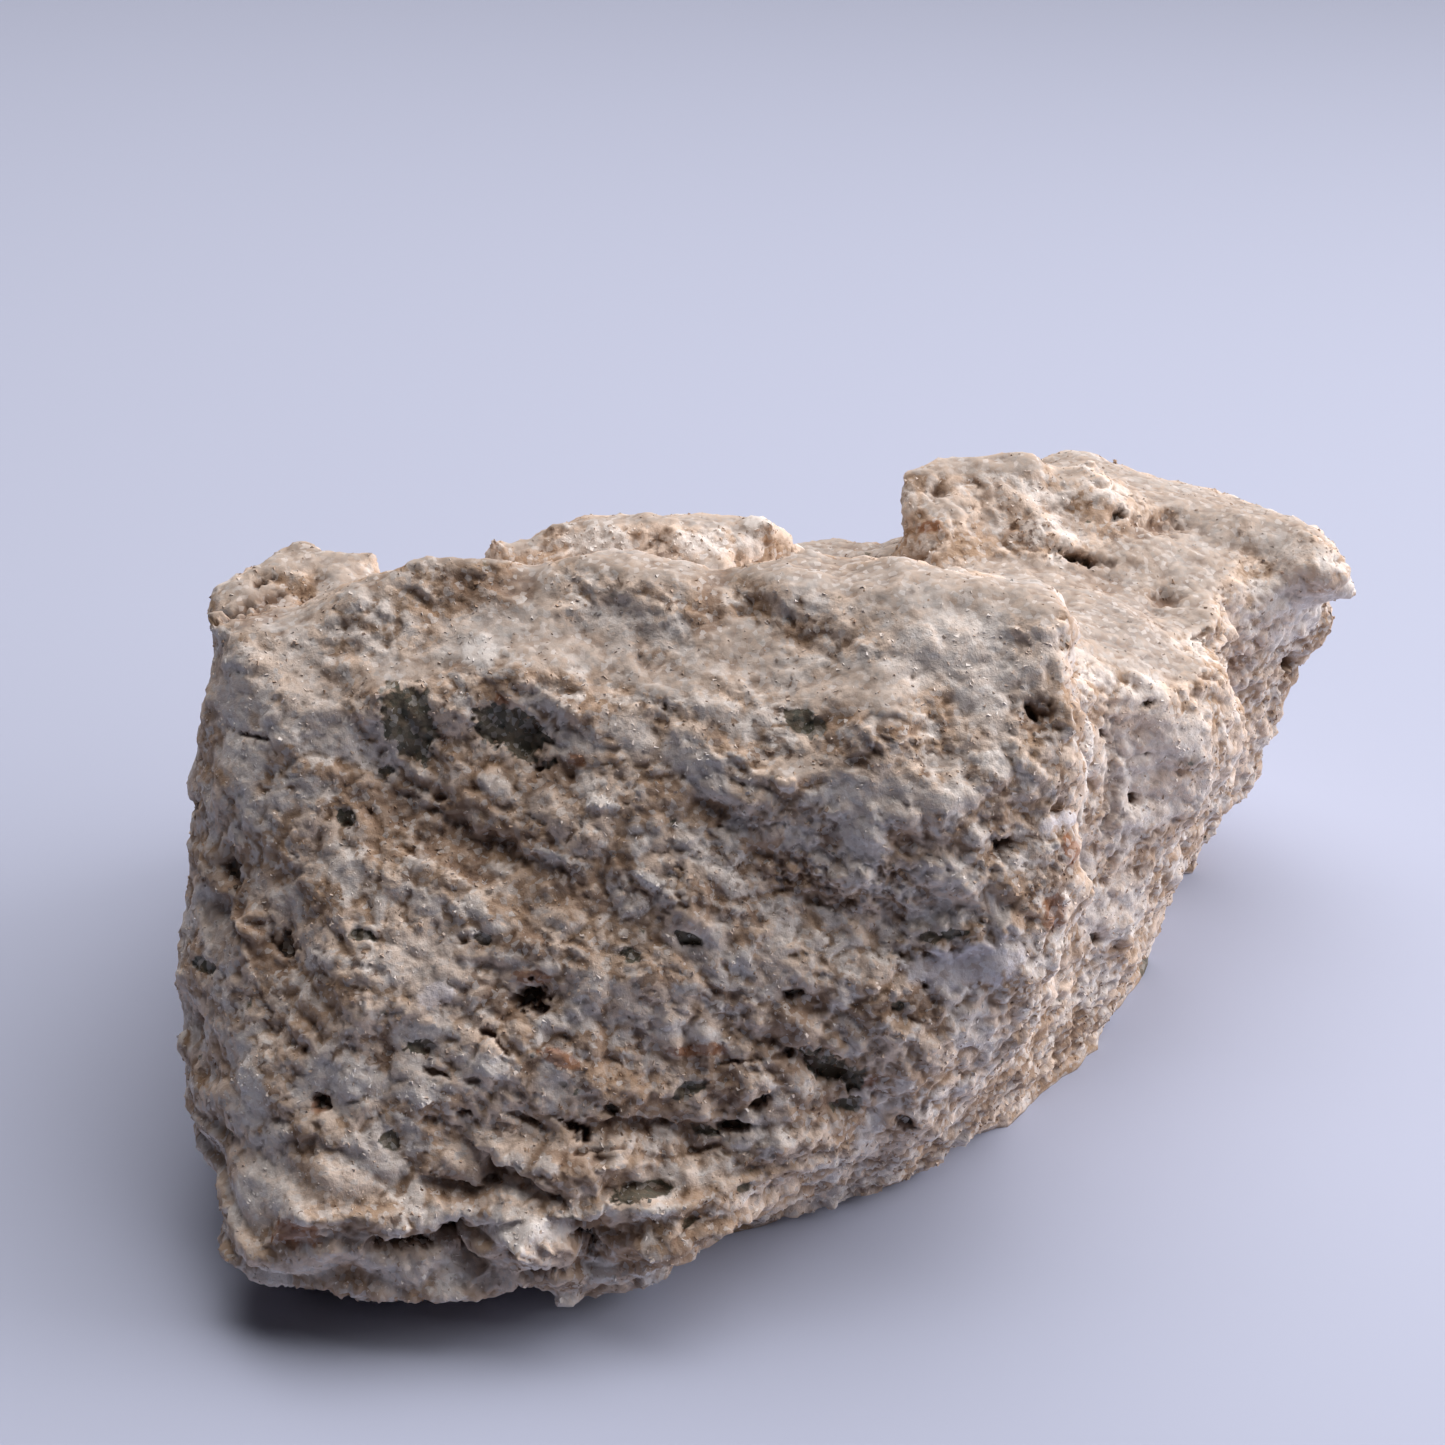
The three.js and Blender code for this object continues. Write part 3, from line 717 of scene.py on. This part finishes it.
slab = {  # the profile of a slab, in half widths up from its middle
    "scallopWidth": 1.6,
    "scallopDepth": 0.55,
    "ends": (1.15, 0.75),  # along it, in half lengths: where the slab is gone, and where it is whole
    "top": (1.3, -0.75),  # it swells from here down to its lip
    "lip": (-1.15, -0.9),  # and drops back here
    "underStart": (-0.9, -1.25),
    "underEnd": (-2.3, -1.4),
    "underDepth": 0.6,
    "sag": -0.35,
    "reach": (3, 2),  # how deep behind its middle it reaches: per half width, and in millimetres
}


def lipMove(places, centre, normal, spot):
    # how a slab moves each place: out and down towards its scalloped lower edge, back beneath it
    length, width, turn, height = spot[2:6]
    turn = math.radians(turn)
    along = np.array(sightRight * math.cos(turn) + sightUp * math.sin(turn))
    over = np.array(sightUp * math.cos(turn) - sightRight * math.sin(turn))
    offset = places - np.array(centre)
    far = np.abs(offset @ np.array(sightAhead)) > slab["reach"][0] * width + slab["reach"][1]
    a = offset @ along / length
    b = offset @ over / width
    scallop = np.array([noise.noise(Vector((x * length / slab["scallopWidth"], spot[0], 0))) for x in a])
    b = b + scallop * slab["scallopDepth"]
    ends = smoothStep(*slab["ends"], np.abs(a))
    swell = smoothStep(*slab["top"], b) * smoothStep(*slab["lip"], b)
    under = smoothStep(*slab["underStart"], b) * smoothStep(*slab["underEnd"], b) * slab["underDepth"]
    push = (swell - under) * ends * height
    push[far] = 0
    return np.outer(push, np.array(normal + Vector((0, 0, slab["sag"]))))


def neighbourMean(values, edges, rounds):
    # the values, averaged with those of their neighbours again and again
    count = np.bincount(edges.ravel(), minlength=len(values))[:, None]
    for turn in range(rounds):
        total = np.zeros_like(values)
        for axis in range(values.shape[1]):
            total[:, axis] = (np.bincount(edges[:, 0], values[edges[:, 1], axis], len(values))
                              + np.bincount(edges[:, 1], values[edges[:, 0], axis], len(values)))
        values = (values + total) / (count + 1)
    return values


outlines = {  # how far a mark's outline wanders: width in millimetres, smoothness, octaves, size
    "ragged": (1.1, 0.6, 3, 0.35),
    "slow": (4.0, 0.7, 3, 0.8),
}
pitRagged = 1.6  # outlines more ragged than the rest
slitRagged = 1.8
octaveStep = 2.1  # each octave of these noises is this much finer than the last


def wander(places, outline):
    width, smooth, octaves, size = outline
    waves = [noise.fractal(p / width, smooth, octaveStep, octaves) for p in map(Vector, places)]
    return np.array(waves) * size


def placeMarks(bm, places, marks):
    # the named marks, each laid on the points it covers; returns how they move, and the plain share
    tree = BVHTree.FromBMesh(bm)
    ragged = wander(places, outlines["ragged"])
    slowRagged = wander(places, outlines["slow"])
    move = np.zeros_like(places)

    def lay(spots, mark, soft, depth=0, rough=ragged, strong=False):
        for spot in spots.values():
            point, normal = placeSeen(tree, spot[0], spot[1])
            share = smoothStep(0, soft, markShare(places, point, spot, rough))
            if depth:
                move[:] += np.outer(share * spot[5] * depth, normal)
            if mark:
                marks[mark] = np.maximum(marks[mark], share * (spot[5] if strong else 1))

    # each kind: its mark, how soft its edge is, and how far a depth of 1 moves the stone outward
    lay(dents, "dent", 0.9, -1)
    lay(greyZones, "grey", 0.7, 0, slowRagged, True)
    lay(tanStains, "ochre", 0.7, 0, slowRagged)
    lay(swells, None, 1.0, 1)
    lay(pits, "hollow", 0.55, -0.75, ragged * pitRagged)
    lay(slits, "cleft", 0.7, -0.5, ragged * slitRagged)
    lay(darkLenses, "dark", 0.25, -1)
    lay(rustStains, "rust", 0.6)
    lay(cleavages, "plate", 0.3)
    lay(whiteCrystals, "pale", 0.8, 0.5)
    lay(paleZones, "light", 0.7, 0, slowRagged, True)
    lay(brownZones, "trough", 0.7, -1, slowRagged)
    for spot in list(brows.values()) + list(sugarLips.values()):
        point, normal = placeSeen(tree, spot[0], spot[1])
        move += lipMove(places, point, normal, spot)
    return move, 1 - marks["plate"] * stone["calmPlate"]


painting = {  # how much the marks change the clouds of colour
    "cloudsApart": 19,  # so that no two clouds are alike
    "calmTurn": (0.7, 0.95),  # how far up the stone must face to count as calm, from none to all
    "topTurn": (0.8, 0.96),  # the same, for the painted shade that darkens the tops
    "stainCalm": 0.5,
    "stainLight": 0.65,
    "blotchTrough": 0.6,
    "blotchCalm": 0.3,
    "blotchLump": (0.05, 0.4),  # blotches keep to the masses, veins to the creases between them
    "blotchLight": 0.45,
    "bitsSmooth": 0.35,
    "bitsLight": 0.8,
    "bitsCalm": 0.4,
    "veinLump": (0.6, 0.2),
    "veinCalm": 0.5,
    "veinLight": 0.7,
    "fibreRun": (0.35, 0.8, 1.9),  # the plates are streaked along their length
    "fibreScale": 1.6,
    "fibreNoise": (0.6, 2.1, 2),
    "fibreEdge": (-0.35, 0.1),
    "fibreLeast": 0.6,
}


def paintMarks(places, normals, marks, lump, turn):
    # the clouds of colour, and how the marks change them
    for index, (name, (width, smooth, octaves, begin, full)) in enumerate(clouds.items()):
        field = np.zeros(len(places))
        shift = Vector((index * painting["cloudsApart"], 5, 3))
        for i, place in enumerate(places):
            q = turn @ Vector(place)
            q.x *= stone["grainStretch"]
            field[i] = noise.fractal(q / width + shift, smooth, octaveStep, octaves)
        marks[name] = smoothStep(begin, full, field)
    upward = normals[:, 2]
    calm = smoothStep(*painting["calmTurn"], upward)
    light = marks["light"]
    trough = marks["trough"]
    # the tan stain also takes the troughs' painted shade; stain and bits give way to the pale zones' painted
    # light, and the blotches take it
    stain = marks["stain"] * (1 - painting["stainCalm"] * calm) + trough - light * painting["stainLight"]
    marks["stain"] = np.clip(stain, 0, 1)
    blotch = marks["blotch"] * (1 - painting["blotchTrough"] * trough - painting["blotchCalm"] * calm)
    blotch = blotch * smoothStep(*painting["blotchLump"], lump) + light * painting["blotchLight"]
    marks["blotch"] = np.clip(blotch, 0, 1)
    least = painting["bitsSmooth"]
    bits = marks["bits"] * (least + (1 - least) * marks["sandy"])
    marks["bits"] = np.clip(bits - light * painting["bitsLight"] - calm * painting["bitsCalm"], 0, 1)
    vein = smoothStep(*painting["veinLump"], lump) * (1 - painting["veinCalm"] * calm)
    marks["vein"] = vein * (1 - painting["veinLight"] * light)
    # the up-facing tops, which the calm layer paints darker as painted shade
    marks["calm"] = smoothStep(*painting["topTurn"], upward)
    run = [Vector(p) * painting["fibreScale"] for p in places * painting["fibreRun"]]
    fibre = np.array([noise.fractal(p, *painting["fibreNoise"]) for p in run])
    least = painting["fibreLeast"]
    marks["plate"] = marks["plate"] * (least + (1 - least) * smoothStep(*painting["fibreEdge"], fibre))


wear = {  # what the finished relief tells, for the painted shade in creases, hollows and troughs and the painted light on proud bits: how far each place lies from the mean around it, in millimetres
    "rounds": (2, 14, 80),  # rounds of neighbour averaging: fine, broad and wide
    "crease": (0.01, 0.06),  # each pair is where a mark begins and where it is full
    "creaseLight": 0.5,
    "hollow": (0.12, 0.7),
    "hollowShare": 0.8,
    "trough": (0.0, 0.6),
    "troughShare": 0.7,
    "troughLight": 0.7,
}


def shapeStone():
    noise.seed_set(stone["seed"])
    bm = cutFiner()
    print("stone cut to", len(bm.faces), "faces")
    places = np.array([v.co for v in bm.verts])
    normals = np.array([v.normal for v in bm.verts])
    edges = np.array([[v.index for v in e.verts] for e in bm.edges])
    marks = {name: np.zeros(len(places)) for name in markNames}
    move, plain = placeMarks(bm, places, marks)
    print("marks placed")

    turn = Matrix.Rotation(math.radians(stone["grainTurn"]), 3, "Y")
    lump = np.array([lumpAt(v.co) for v in bm.verts])
    sandy = np.array([sandyAt(v.co) for v in bm.verts])
    marks["sandy"] = sandy * (1 - stone["paleSandLoss"] * marks["light"])
    heights = np.array([reliefAt(v.co, v.normal, turn, eachLump, eachSandy)
                        for v, eachLump, eachSandy in zip(bm.verts, lump, marks["sandy"])])
    specks = np.array([cellSpot(v.co, stone["speckWidth"], stone["speckShare"], *stone["speckSize"])
                       for v in bm.verts])
    marks["speck"] = specks * (stone["speckClean"] + (1 - stone["speckClean"]) * marks["sandy"])
    foot = smoothStep(stone["footStart"], stone["footFade"], places[:, 2])
    move += normals * (heights * plain * (1 - stone["calmPale"] * marks["light"]))[:, None]
    moved = places + move * foot[:, None]
    moved[:, 2] = np.maximum(moved[:, 2], 0.0)
    for v, place in zip(bm.verts, moved):
        v.co = place
    bm.normal_update()
    print("stone broken up")

    outward = np.array([v.normal for v in bm.verts])
    fineRounds, broadRounds, wideRounds = wear["rounds"]
    fine = neighbourMean(moved, edges, fineRounds)
    broad = neighbourMean(fine, edges, broadRounds)
    wide = neighbourMean(broad, edges, wideRounds)
    crease = np.einsum("ij,ij->i", fine - moved, outward)
    sunk = np.einsum("ij,ij->i", broad - moved, outward)
    trough = np.einsum("ij,ij->i", wide - broad, outward)
    marks["crease"] = smoothStep(*wear["crease"], crease) * (1 - wear["creaseLight"] * marks["light"])
    marks["proud"] = smoothStep(*wear["crease"], -crease)
    hollow = smoothStep(*wear["hollow"], sunk) * wear["hollowShare"]
    marks["hollow"] = np.clip(marks["hollow"] + hollow, 0, 1)
    deeper = smoothStep(*wear["trough"], trough) * wear["troughShare"]
    deeper *= 1 - wear["troughLight"] * marks["light"]
    marks["trough"] = np.maximum(marks["trough"], deeper)
    paintMarks(places, normals, marks, lump, turn)
    print("colour clouds laid")

    mesh = bpy.data.meshes.new("calcite_stone")
    bmesh.ops.scale(bm, verts=bm.verts, vec=(mm,) * 3)
    bm.to_mesh(mesh)
    bm.free()
    mesh.polygons.foreach_set("use_smooth", [True] * len(mesh.polygons))
    for name in markNames:
        attribute = mesh.attributes.new(name, "FLOAT", "POINT")
        attribute.data.foreach_set("value", marks[name].astype(np.float32))
    piece = bpy.data.objects.new("calcite_stone", mesh)
    bpy.context.scene.collection.objects.link(piece)
    return piece


def thinFaces(piece, mostFaces):
    # fewer faces where the surface is flatter
    if len(piece.data.polygons) <= mostFaces:
        return
    modifier = piece.modifiers.new("thin", "DECIMATE")
    modifier.ratio = mostFaces / len(piece.data.polygons)
    graph = bpy.context.evaluated_depsgraph_get()
    thinned = bpy.data.meshes.new_from_object(piece.evaluated_get(graph))
    piece.modifiers.clear()
    piece.data = thinned


# Finishes

calcite = {
    "cream": "#e8d4c4",
    "white": "#f1ece9",
    "tan": "#ae8f75",
    "brown": "#684f40",
    # deep: near-black painted shadow in the deepest hollows
    "deep": "#241a13",
    "dark": "#525347",
    "olive": "#5c5c4c",
    "rust": "#94592f",
    "amber": "#a18264",
    # sand: the grey of the painted shade on the up-facing tops
    "sand": "#918d8b",
    "plate": "#e6e2e8",
    "grey": "#aca19b",
    "ochre": "#a4886e",
}

layers = [  # each mark's colour is laid over the ones before it: up to this share, with an edge this soft
    ("stain", "tan", 0.85, 0.3),
    ("blotch", "white", 0.85, 0.25),
    ("vein", "amber", 0.75, 0.25),
    ("bits", "brown", 0.75, 0.15),
    # light: white painted light from the pale zones, partly paler stone
    ("light", "white", 0.6, 0.5),
    # grey: clear grey crystal, partly painted shade on the shelf and lobe tops
    ("grey", "grey", 0.75, 0.4),
    ("ochre", "ochre", 0.75, 0.3),
    # calm: sand-grey painted shade that darkens the up-facing tops
    ("calm", "sand", 0.72, 0.5),
    # trough: brown, partly iron stain and partly painted shade; dent: brown painted shade in the dents;
    # proud: cream painted light on the proud bits; crease: brown painted shade in the creases, partly stain
    ("trough", "brown", 0.5, 0.5),
    ("dent", "brown", 0.5, 0.4),
    ("proud", "cream", 0.3, 0.4),
    ("crease", "brown", 0.4, 0.4),
    ("speck", "olive", 0.85, 0.15),
    ("pale", "white", 0.85, 0.25),
    ("rust", "rust", 0.75, 0.2),
    ("plate", "plate", 0.85, 0.4),
    ("dark", "dark", 0.95, 0.15),
    # cleft and hollow: brown painted shade in the slits, pits and hollows, partly brown stain
    ("cleft", "brown", 0.8, 0.3),
    ("hollow", "brown", 0.9, 0.3),
]


finish = {
    "grainsPerMm": 2,
    "noiseDetail": 3.0,
    "noiseRoughness": 0.7,
    "gritFrom": (0.4, 1.6),  # the grain's own range, and how far it shifts a mark's edge
    "gritTo": (-0.22, 0.22),
    "dullShare": 0.3,  # single grains are up to this much duller
    "sugarFrom": 0.7,  # and the grains past this are whiter, up to this share
    "sugarShare": 0.4,
    "deepFrom": 0.75,  # hollows past this are painted darkest, as painted shadow
    "bumpRough": 0.6,
    "bumpCalm": 0.25,
    "bumpHeight": 0.2,  # in millimetres
    "glintFrom": 0.9,  # grains past this have a bright cleavage face
    "matt": 0.8,
    "glint": 0.25,
    "ior": 1.6,
    "shine": 0.35,
    "grainShine": 0.4,
}


def mixColour(tree, share, under, over):
    return addNode(tree, "ShaderNodeMixRGB", {"Fac": share, "Color1": under, "Color2": over}).outputs["Color"]


def mapRange(tree, value, low, high, least=0.0, most=1.0):
    return addNode(tree, "ShaderNodeMapRange", {
        "Value": value, "From Min": low, "From Max": high, "To Min": least, "To Max": most}).outputs["Result"]


def calculate(tree, operation, first, second):
    return addNode(tree, "ShaderNodeMath", {0: first, 1: second}, operation=operation).outputs[0]


def readMark(tree, name):
    return addNode(tree, "ShaderNodeAttribute", attribute_name=name).outputs["Fac"]


def paintStone(tree, grit):
    # cream calcite with the colour of every mark laid over it, painted light and shade among them, and the
    # deepest hollows painted darkest, as painted shadow;
    # the grit shifts each mark's edge, so that it breaks up into crystals
    colour = linearColour(calcite["cream"])
    for mark, tone, most, soft in layers:
        broken = calculate(tree, "ADD", readMark(tree, mark), grit)
        share = mapRange(tree, broken, 0.5 - soft, 0.5 + soft, 0.0, most)
        colour = mixColour(tree, share, colour, linearColour(calcite[tone]))
    deep = mapRange(tree, readMark(tree, "hollow"), finish["deepFrom"], 1.0)
    return mixColour(tree, deep, colour, linearColour(calcite["deep"]))


def makeCalcite():
    # Calcite aggregate, broken and weathered: cream and white crystal masses
    # with tan iron stain and painted shade between them, painted light on the paler zones, matt with small
    # bright cleavage glints.
    material, tree = newMaterial("weathered calcite aggregate")
    spot = addNode(tree, "ShaderNodeTexCoord").outputs["Object"]
    scale = finish["grainsPerMm"] / mm
    fine = addNode(tree, "ShaderNodeTexNoise", {
        "Vector": spot, "Scale": scale, "Detail": finish["noiseDetail"],
        "Roughness": finish["noiseRoughness"]})
    cells = addNode(tree, "ShaderNodeTexVoronoi", {"Vector": spot, "Scale": scale})
    cell = addNode(tree, "ShaderNodeSeparateColor", {"Color": cells.outputs["Color"]})
    grains = calculate(tree, "ADD", cell.outputs["Green"], fine.outputs["Fac"])
    grit = mapRange(tree, grains, *finish["gritFrom"], *finish["gritTo"])
    colour = paintStone(tree, grit)
    dull = calculate(tree, "MULTIPLY", cell.outputs["Red"], finish["dullShare"])
    colour = mixColour(tree, dull, colour, linearColour(calcite["tan"]))
    sugar = mapRange(tree, cell.outputs["Green"], finish["sugarFrom"], 1.0, 0.0, finish["sugarShare"])
    colour = mixColour(tree, sugar, colour, linearColour(calcite["white"]))
    strength = mapRange(tree, readMark(tree, "calm"), 0.0, 1.0, finish["bumpRough"], finish["bumpCalm"])
    bump = addNode(tree, "ShaderNodeBump", {
        "Height": fine.outputs["Fac"], "Strength": strength, "Distance": finish["bumpHeight"] * mm})
    gloss = mapRange(tree, cell.outputs["Blue"], finish["glintFrom"], 1.0, finish["matt"], finish["glint"])
    shader = addNode(tree, "ShaderNodeBsdfPrincipled", {
        "Base Color": colour, "Roughness": gloss, "IOR": finish["ior"],
        "Specular IOR Level": finish["shine"], "Normal": bump.outputs["Normal"]})
    addNode(tree, "ShaderNodeOutputMaterial", {"Surface": shader.outputs["BSDF"]})
    return material


def makeGrainFinish(name, tone, least, gloss):
    # Loose-standing calcite grains: the stone's colour with its painted light and shade, clearer or duller,
    # with flat bright faces.
    material, tree = newMaterial(name)
    share = calculate(tree, "MULTIPLY", readMark(tree, "tint"), least)
    colour = mixColour(tree, share, paintStone(tree, 0.0), linearColour(calcite[tone]))
    shader = addNode(tree, "ShaderNodeBsdfPrincipled", {
        "Base Color": colour, "Roughness": gloss, "IOR": finish["ior"],
        "Specular IOR Level": finish["grainShine"]})
    addNode(tree, "ShaderNodeOutputMaterial", {"Surface": shader.outputs["BSDF"]})
    return material


# Grains

grainKinds = {  # sizes in millimetres; sunk is a share of a grain; sandy and pale draw grains there
    "sugar_grains": {"count": 16000, "least": 0.14, "most": 0.42, "sunk": 0.42, "seed": 3,
                     "tone": "white", "share": 0.5, "gloss": 0.4, "sandy": -0.6, "pale": 3.0},
    "sand_grains": {"count": 16000, "least": 0.14, "most": 0.36, "sunk": 0.38, "seed": 5,
                    "tone": "tan", "share": 0.8, "gloss": 0.7, "sandy": 2.5, "pale": 0.2},
}


rhomb = {
    "shapes": 8,
    "lean": (0.3, 0.25),
    "uneven": 0.13,
    "flat": 0.75,
}

scatter = {  # where grains are scarcer, and where there are none
    "hollow": 0.7,
    "calm": 0.8,
    "leastHeight": 0.5,  # millimetres above the floor
    "leastChance": 0.05,
    "smaller": 2,  # a higher power makes more of the grains small
    "lowest": 0.02,
}


def rhombShapes(kinds, rng):
    # a few calcite cleavage rhombs, each a cube leant over and a little uneven
    shapes = []
    for kind in range(kinds):
        bm = bmesh.new()
        bmesh.ops.create_cube(bm, size=1)
        for v in bm.verts:
            lean = Vector((v.co.y * rhomb["lean"][0], v.co.z * rhomb["lean"][1], 0))
            v.co += lean + Vector(rng.uniform(-rhomb["uneven"], rhomb["uneven"], 3))
            v.co.z *= rhomb["flat"]
        bmesh.ops.triangulate(bm, faces=bm.faces)
        faces = np.array([[v.index for v in f.verts] for f in bm.faces])
        shapes.append((np.array([v.co for v in bm.verts]), faces))
        bm.free()
    return shapes


def scatterGrains(name, kind, base):
    # one joined mesh of small grains half sunk in the stone's surface
    rng = np.random.default_rng(kind["seed"])
    mesh = base.data
    places = np.zeros(len(mesh.vertices) * 3)
    mesh.vertices.foreach_get("co", places)
    places = places.reshape(-1, 3) / mm
    corners = np.zeros(len(mesh.polygons) * 3, int)
    mesh.loops.foreach_get("vertex_index", corners)
    corners = corners.reshape(-1, 3)
    values = {}
    onFace = {}
    for mark in markNames:
        values[mark] = np.zeros(len(mesh.vertices))
        mesh.attributes[mark].data.foreach_get("value", values[mark])
        onFace[mark] = values[mark][corners].mean(1)
    a, b, c = (places[corners[:, i]] for i in range(3))
    cross = np.cross(b - a, c - a)
    area = np.linalg.norm(cross, axis=1)
    outward = cross / np.maximum(area, 1e-9)[:, None]
    chance = 1 + kind["sandy"] * onFace["sandy"] + kind["pale"] * onFace["pale"]
    chance *= (1 - onFace["plate"]) * (1 - scatter["hollow"] * onFace["hollow"])
    chance *= 1 - scatter["calm"] * onFace["calm"]
    chance *= places[corners, 2].mean(1) > scatter["leastHeight"]
    chance = area * np.maximum(chance, scatter["leastChance"])
    picked = rng.choice(len(corners), kind["count"], p=chance / chance.sum())
    share = rng.random((kind["count"], 2))
    share = np.where(share.sum(1, keepdims=True) > 1, 1 - share, share)
    middle = (a[picked] + (b - a)[picked] * share[:, :1] + (c - a)[picked] * share[:, 1:])
    turn = rng.normal(size=(kind["count"], 4))
    turn /= np.linalg.norm(turn, axis=1)[:, None]
    w, x, y, z = turn.T
    spin = np.array([[1 - 2 * (y * y + z * z), 2 * (x * y - w * z), 2 * (x * z + w * y)],
                     [2 * (x * y + w * z), 1 - 2 * (x * x + z * z), 2 * (y * z - w * x)],
                     [2 * (x * z - w * y), 2 * (y * z + w * x), 1 - 2 * (x * x + y * y)]]).transpose(2, 0, 1)
    width = kind["least"] + (kind["most"] - kind["least"]) * rng.random(kind["count"]) ** scatter["smaller"]
    middle -= outward[picked] * (width * kind["sunk"])[:, None]
    shapes = rhombShapes(rhomb["shapes"], rng)
    which = rng.integers(0, len(shapes), kind["count"])
    corner = np.array([shape[0] for shape in shapes])[which]
    each = corner.shape[1]
    points = np.einsum("nij,nkj->nki", spin, corner) * width[:, None, None] + middle[:, None, :]
    points[:, :, 2] = np.maximum(points[:, :, 2], scatter["lowest"])
    faces = np.array([shape[1] for shape in shapes])[which] + np.arange(kind["count"])[:, None, None] * each
    grainMesh = bpy.data.meshes.new(name)
    grainMesh.from_pydata((points.reshape(-1, 3) * mm).tolist(), [], faces.reshape(-1, 3).tolist())
    tint = grainMesh.attributes.new("tint", "FLOAT", "POINT")
    tint.data.foreach_set("value", np.repeat(rng.random(kind["count"]), each).astype(np.float32))
    for mark in markNames:
        attribute = grainMesh.attributes.new(mark, "FLOAT", "POINT")
        there = values[mark][corners[picked, 0]]
        attribute.data.foreach_set("value", np.repeat(there, each).astype(np.float32))
    grainFinish = makeGrainFinish(name.replace("_", " "), kind["tone"], kind["share"], kind["gloss"])
    grainMesh.materials.append(grainFinish)
    grains = bpy.data.objects.new(name, grainMesh)
    bpy.context.scene.collection.objects.link(grains)
    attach(grains, "root")
    print(name, "scattered,", len(grainMesh.polygons), "faces")


calciteFinish = makeCalcite()
calciteStone = shapeStone()
thinFaces(calciteStone, stone["mostFaces"])
calciteStone.data.materials.clear()
calciteStone.data.materials.append(calciteFinish)
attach(calciteStone, "root")
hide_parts("calcite_rock")
print("stone made with", len(calciteStone.data.polygons), "faces")

for name, kind in grainKinds.items():
    scatterGrains(name, kind, calciteStone)

bpy.context.view_layer.update()
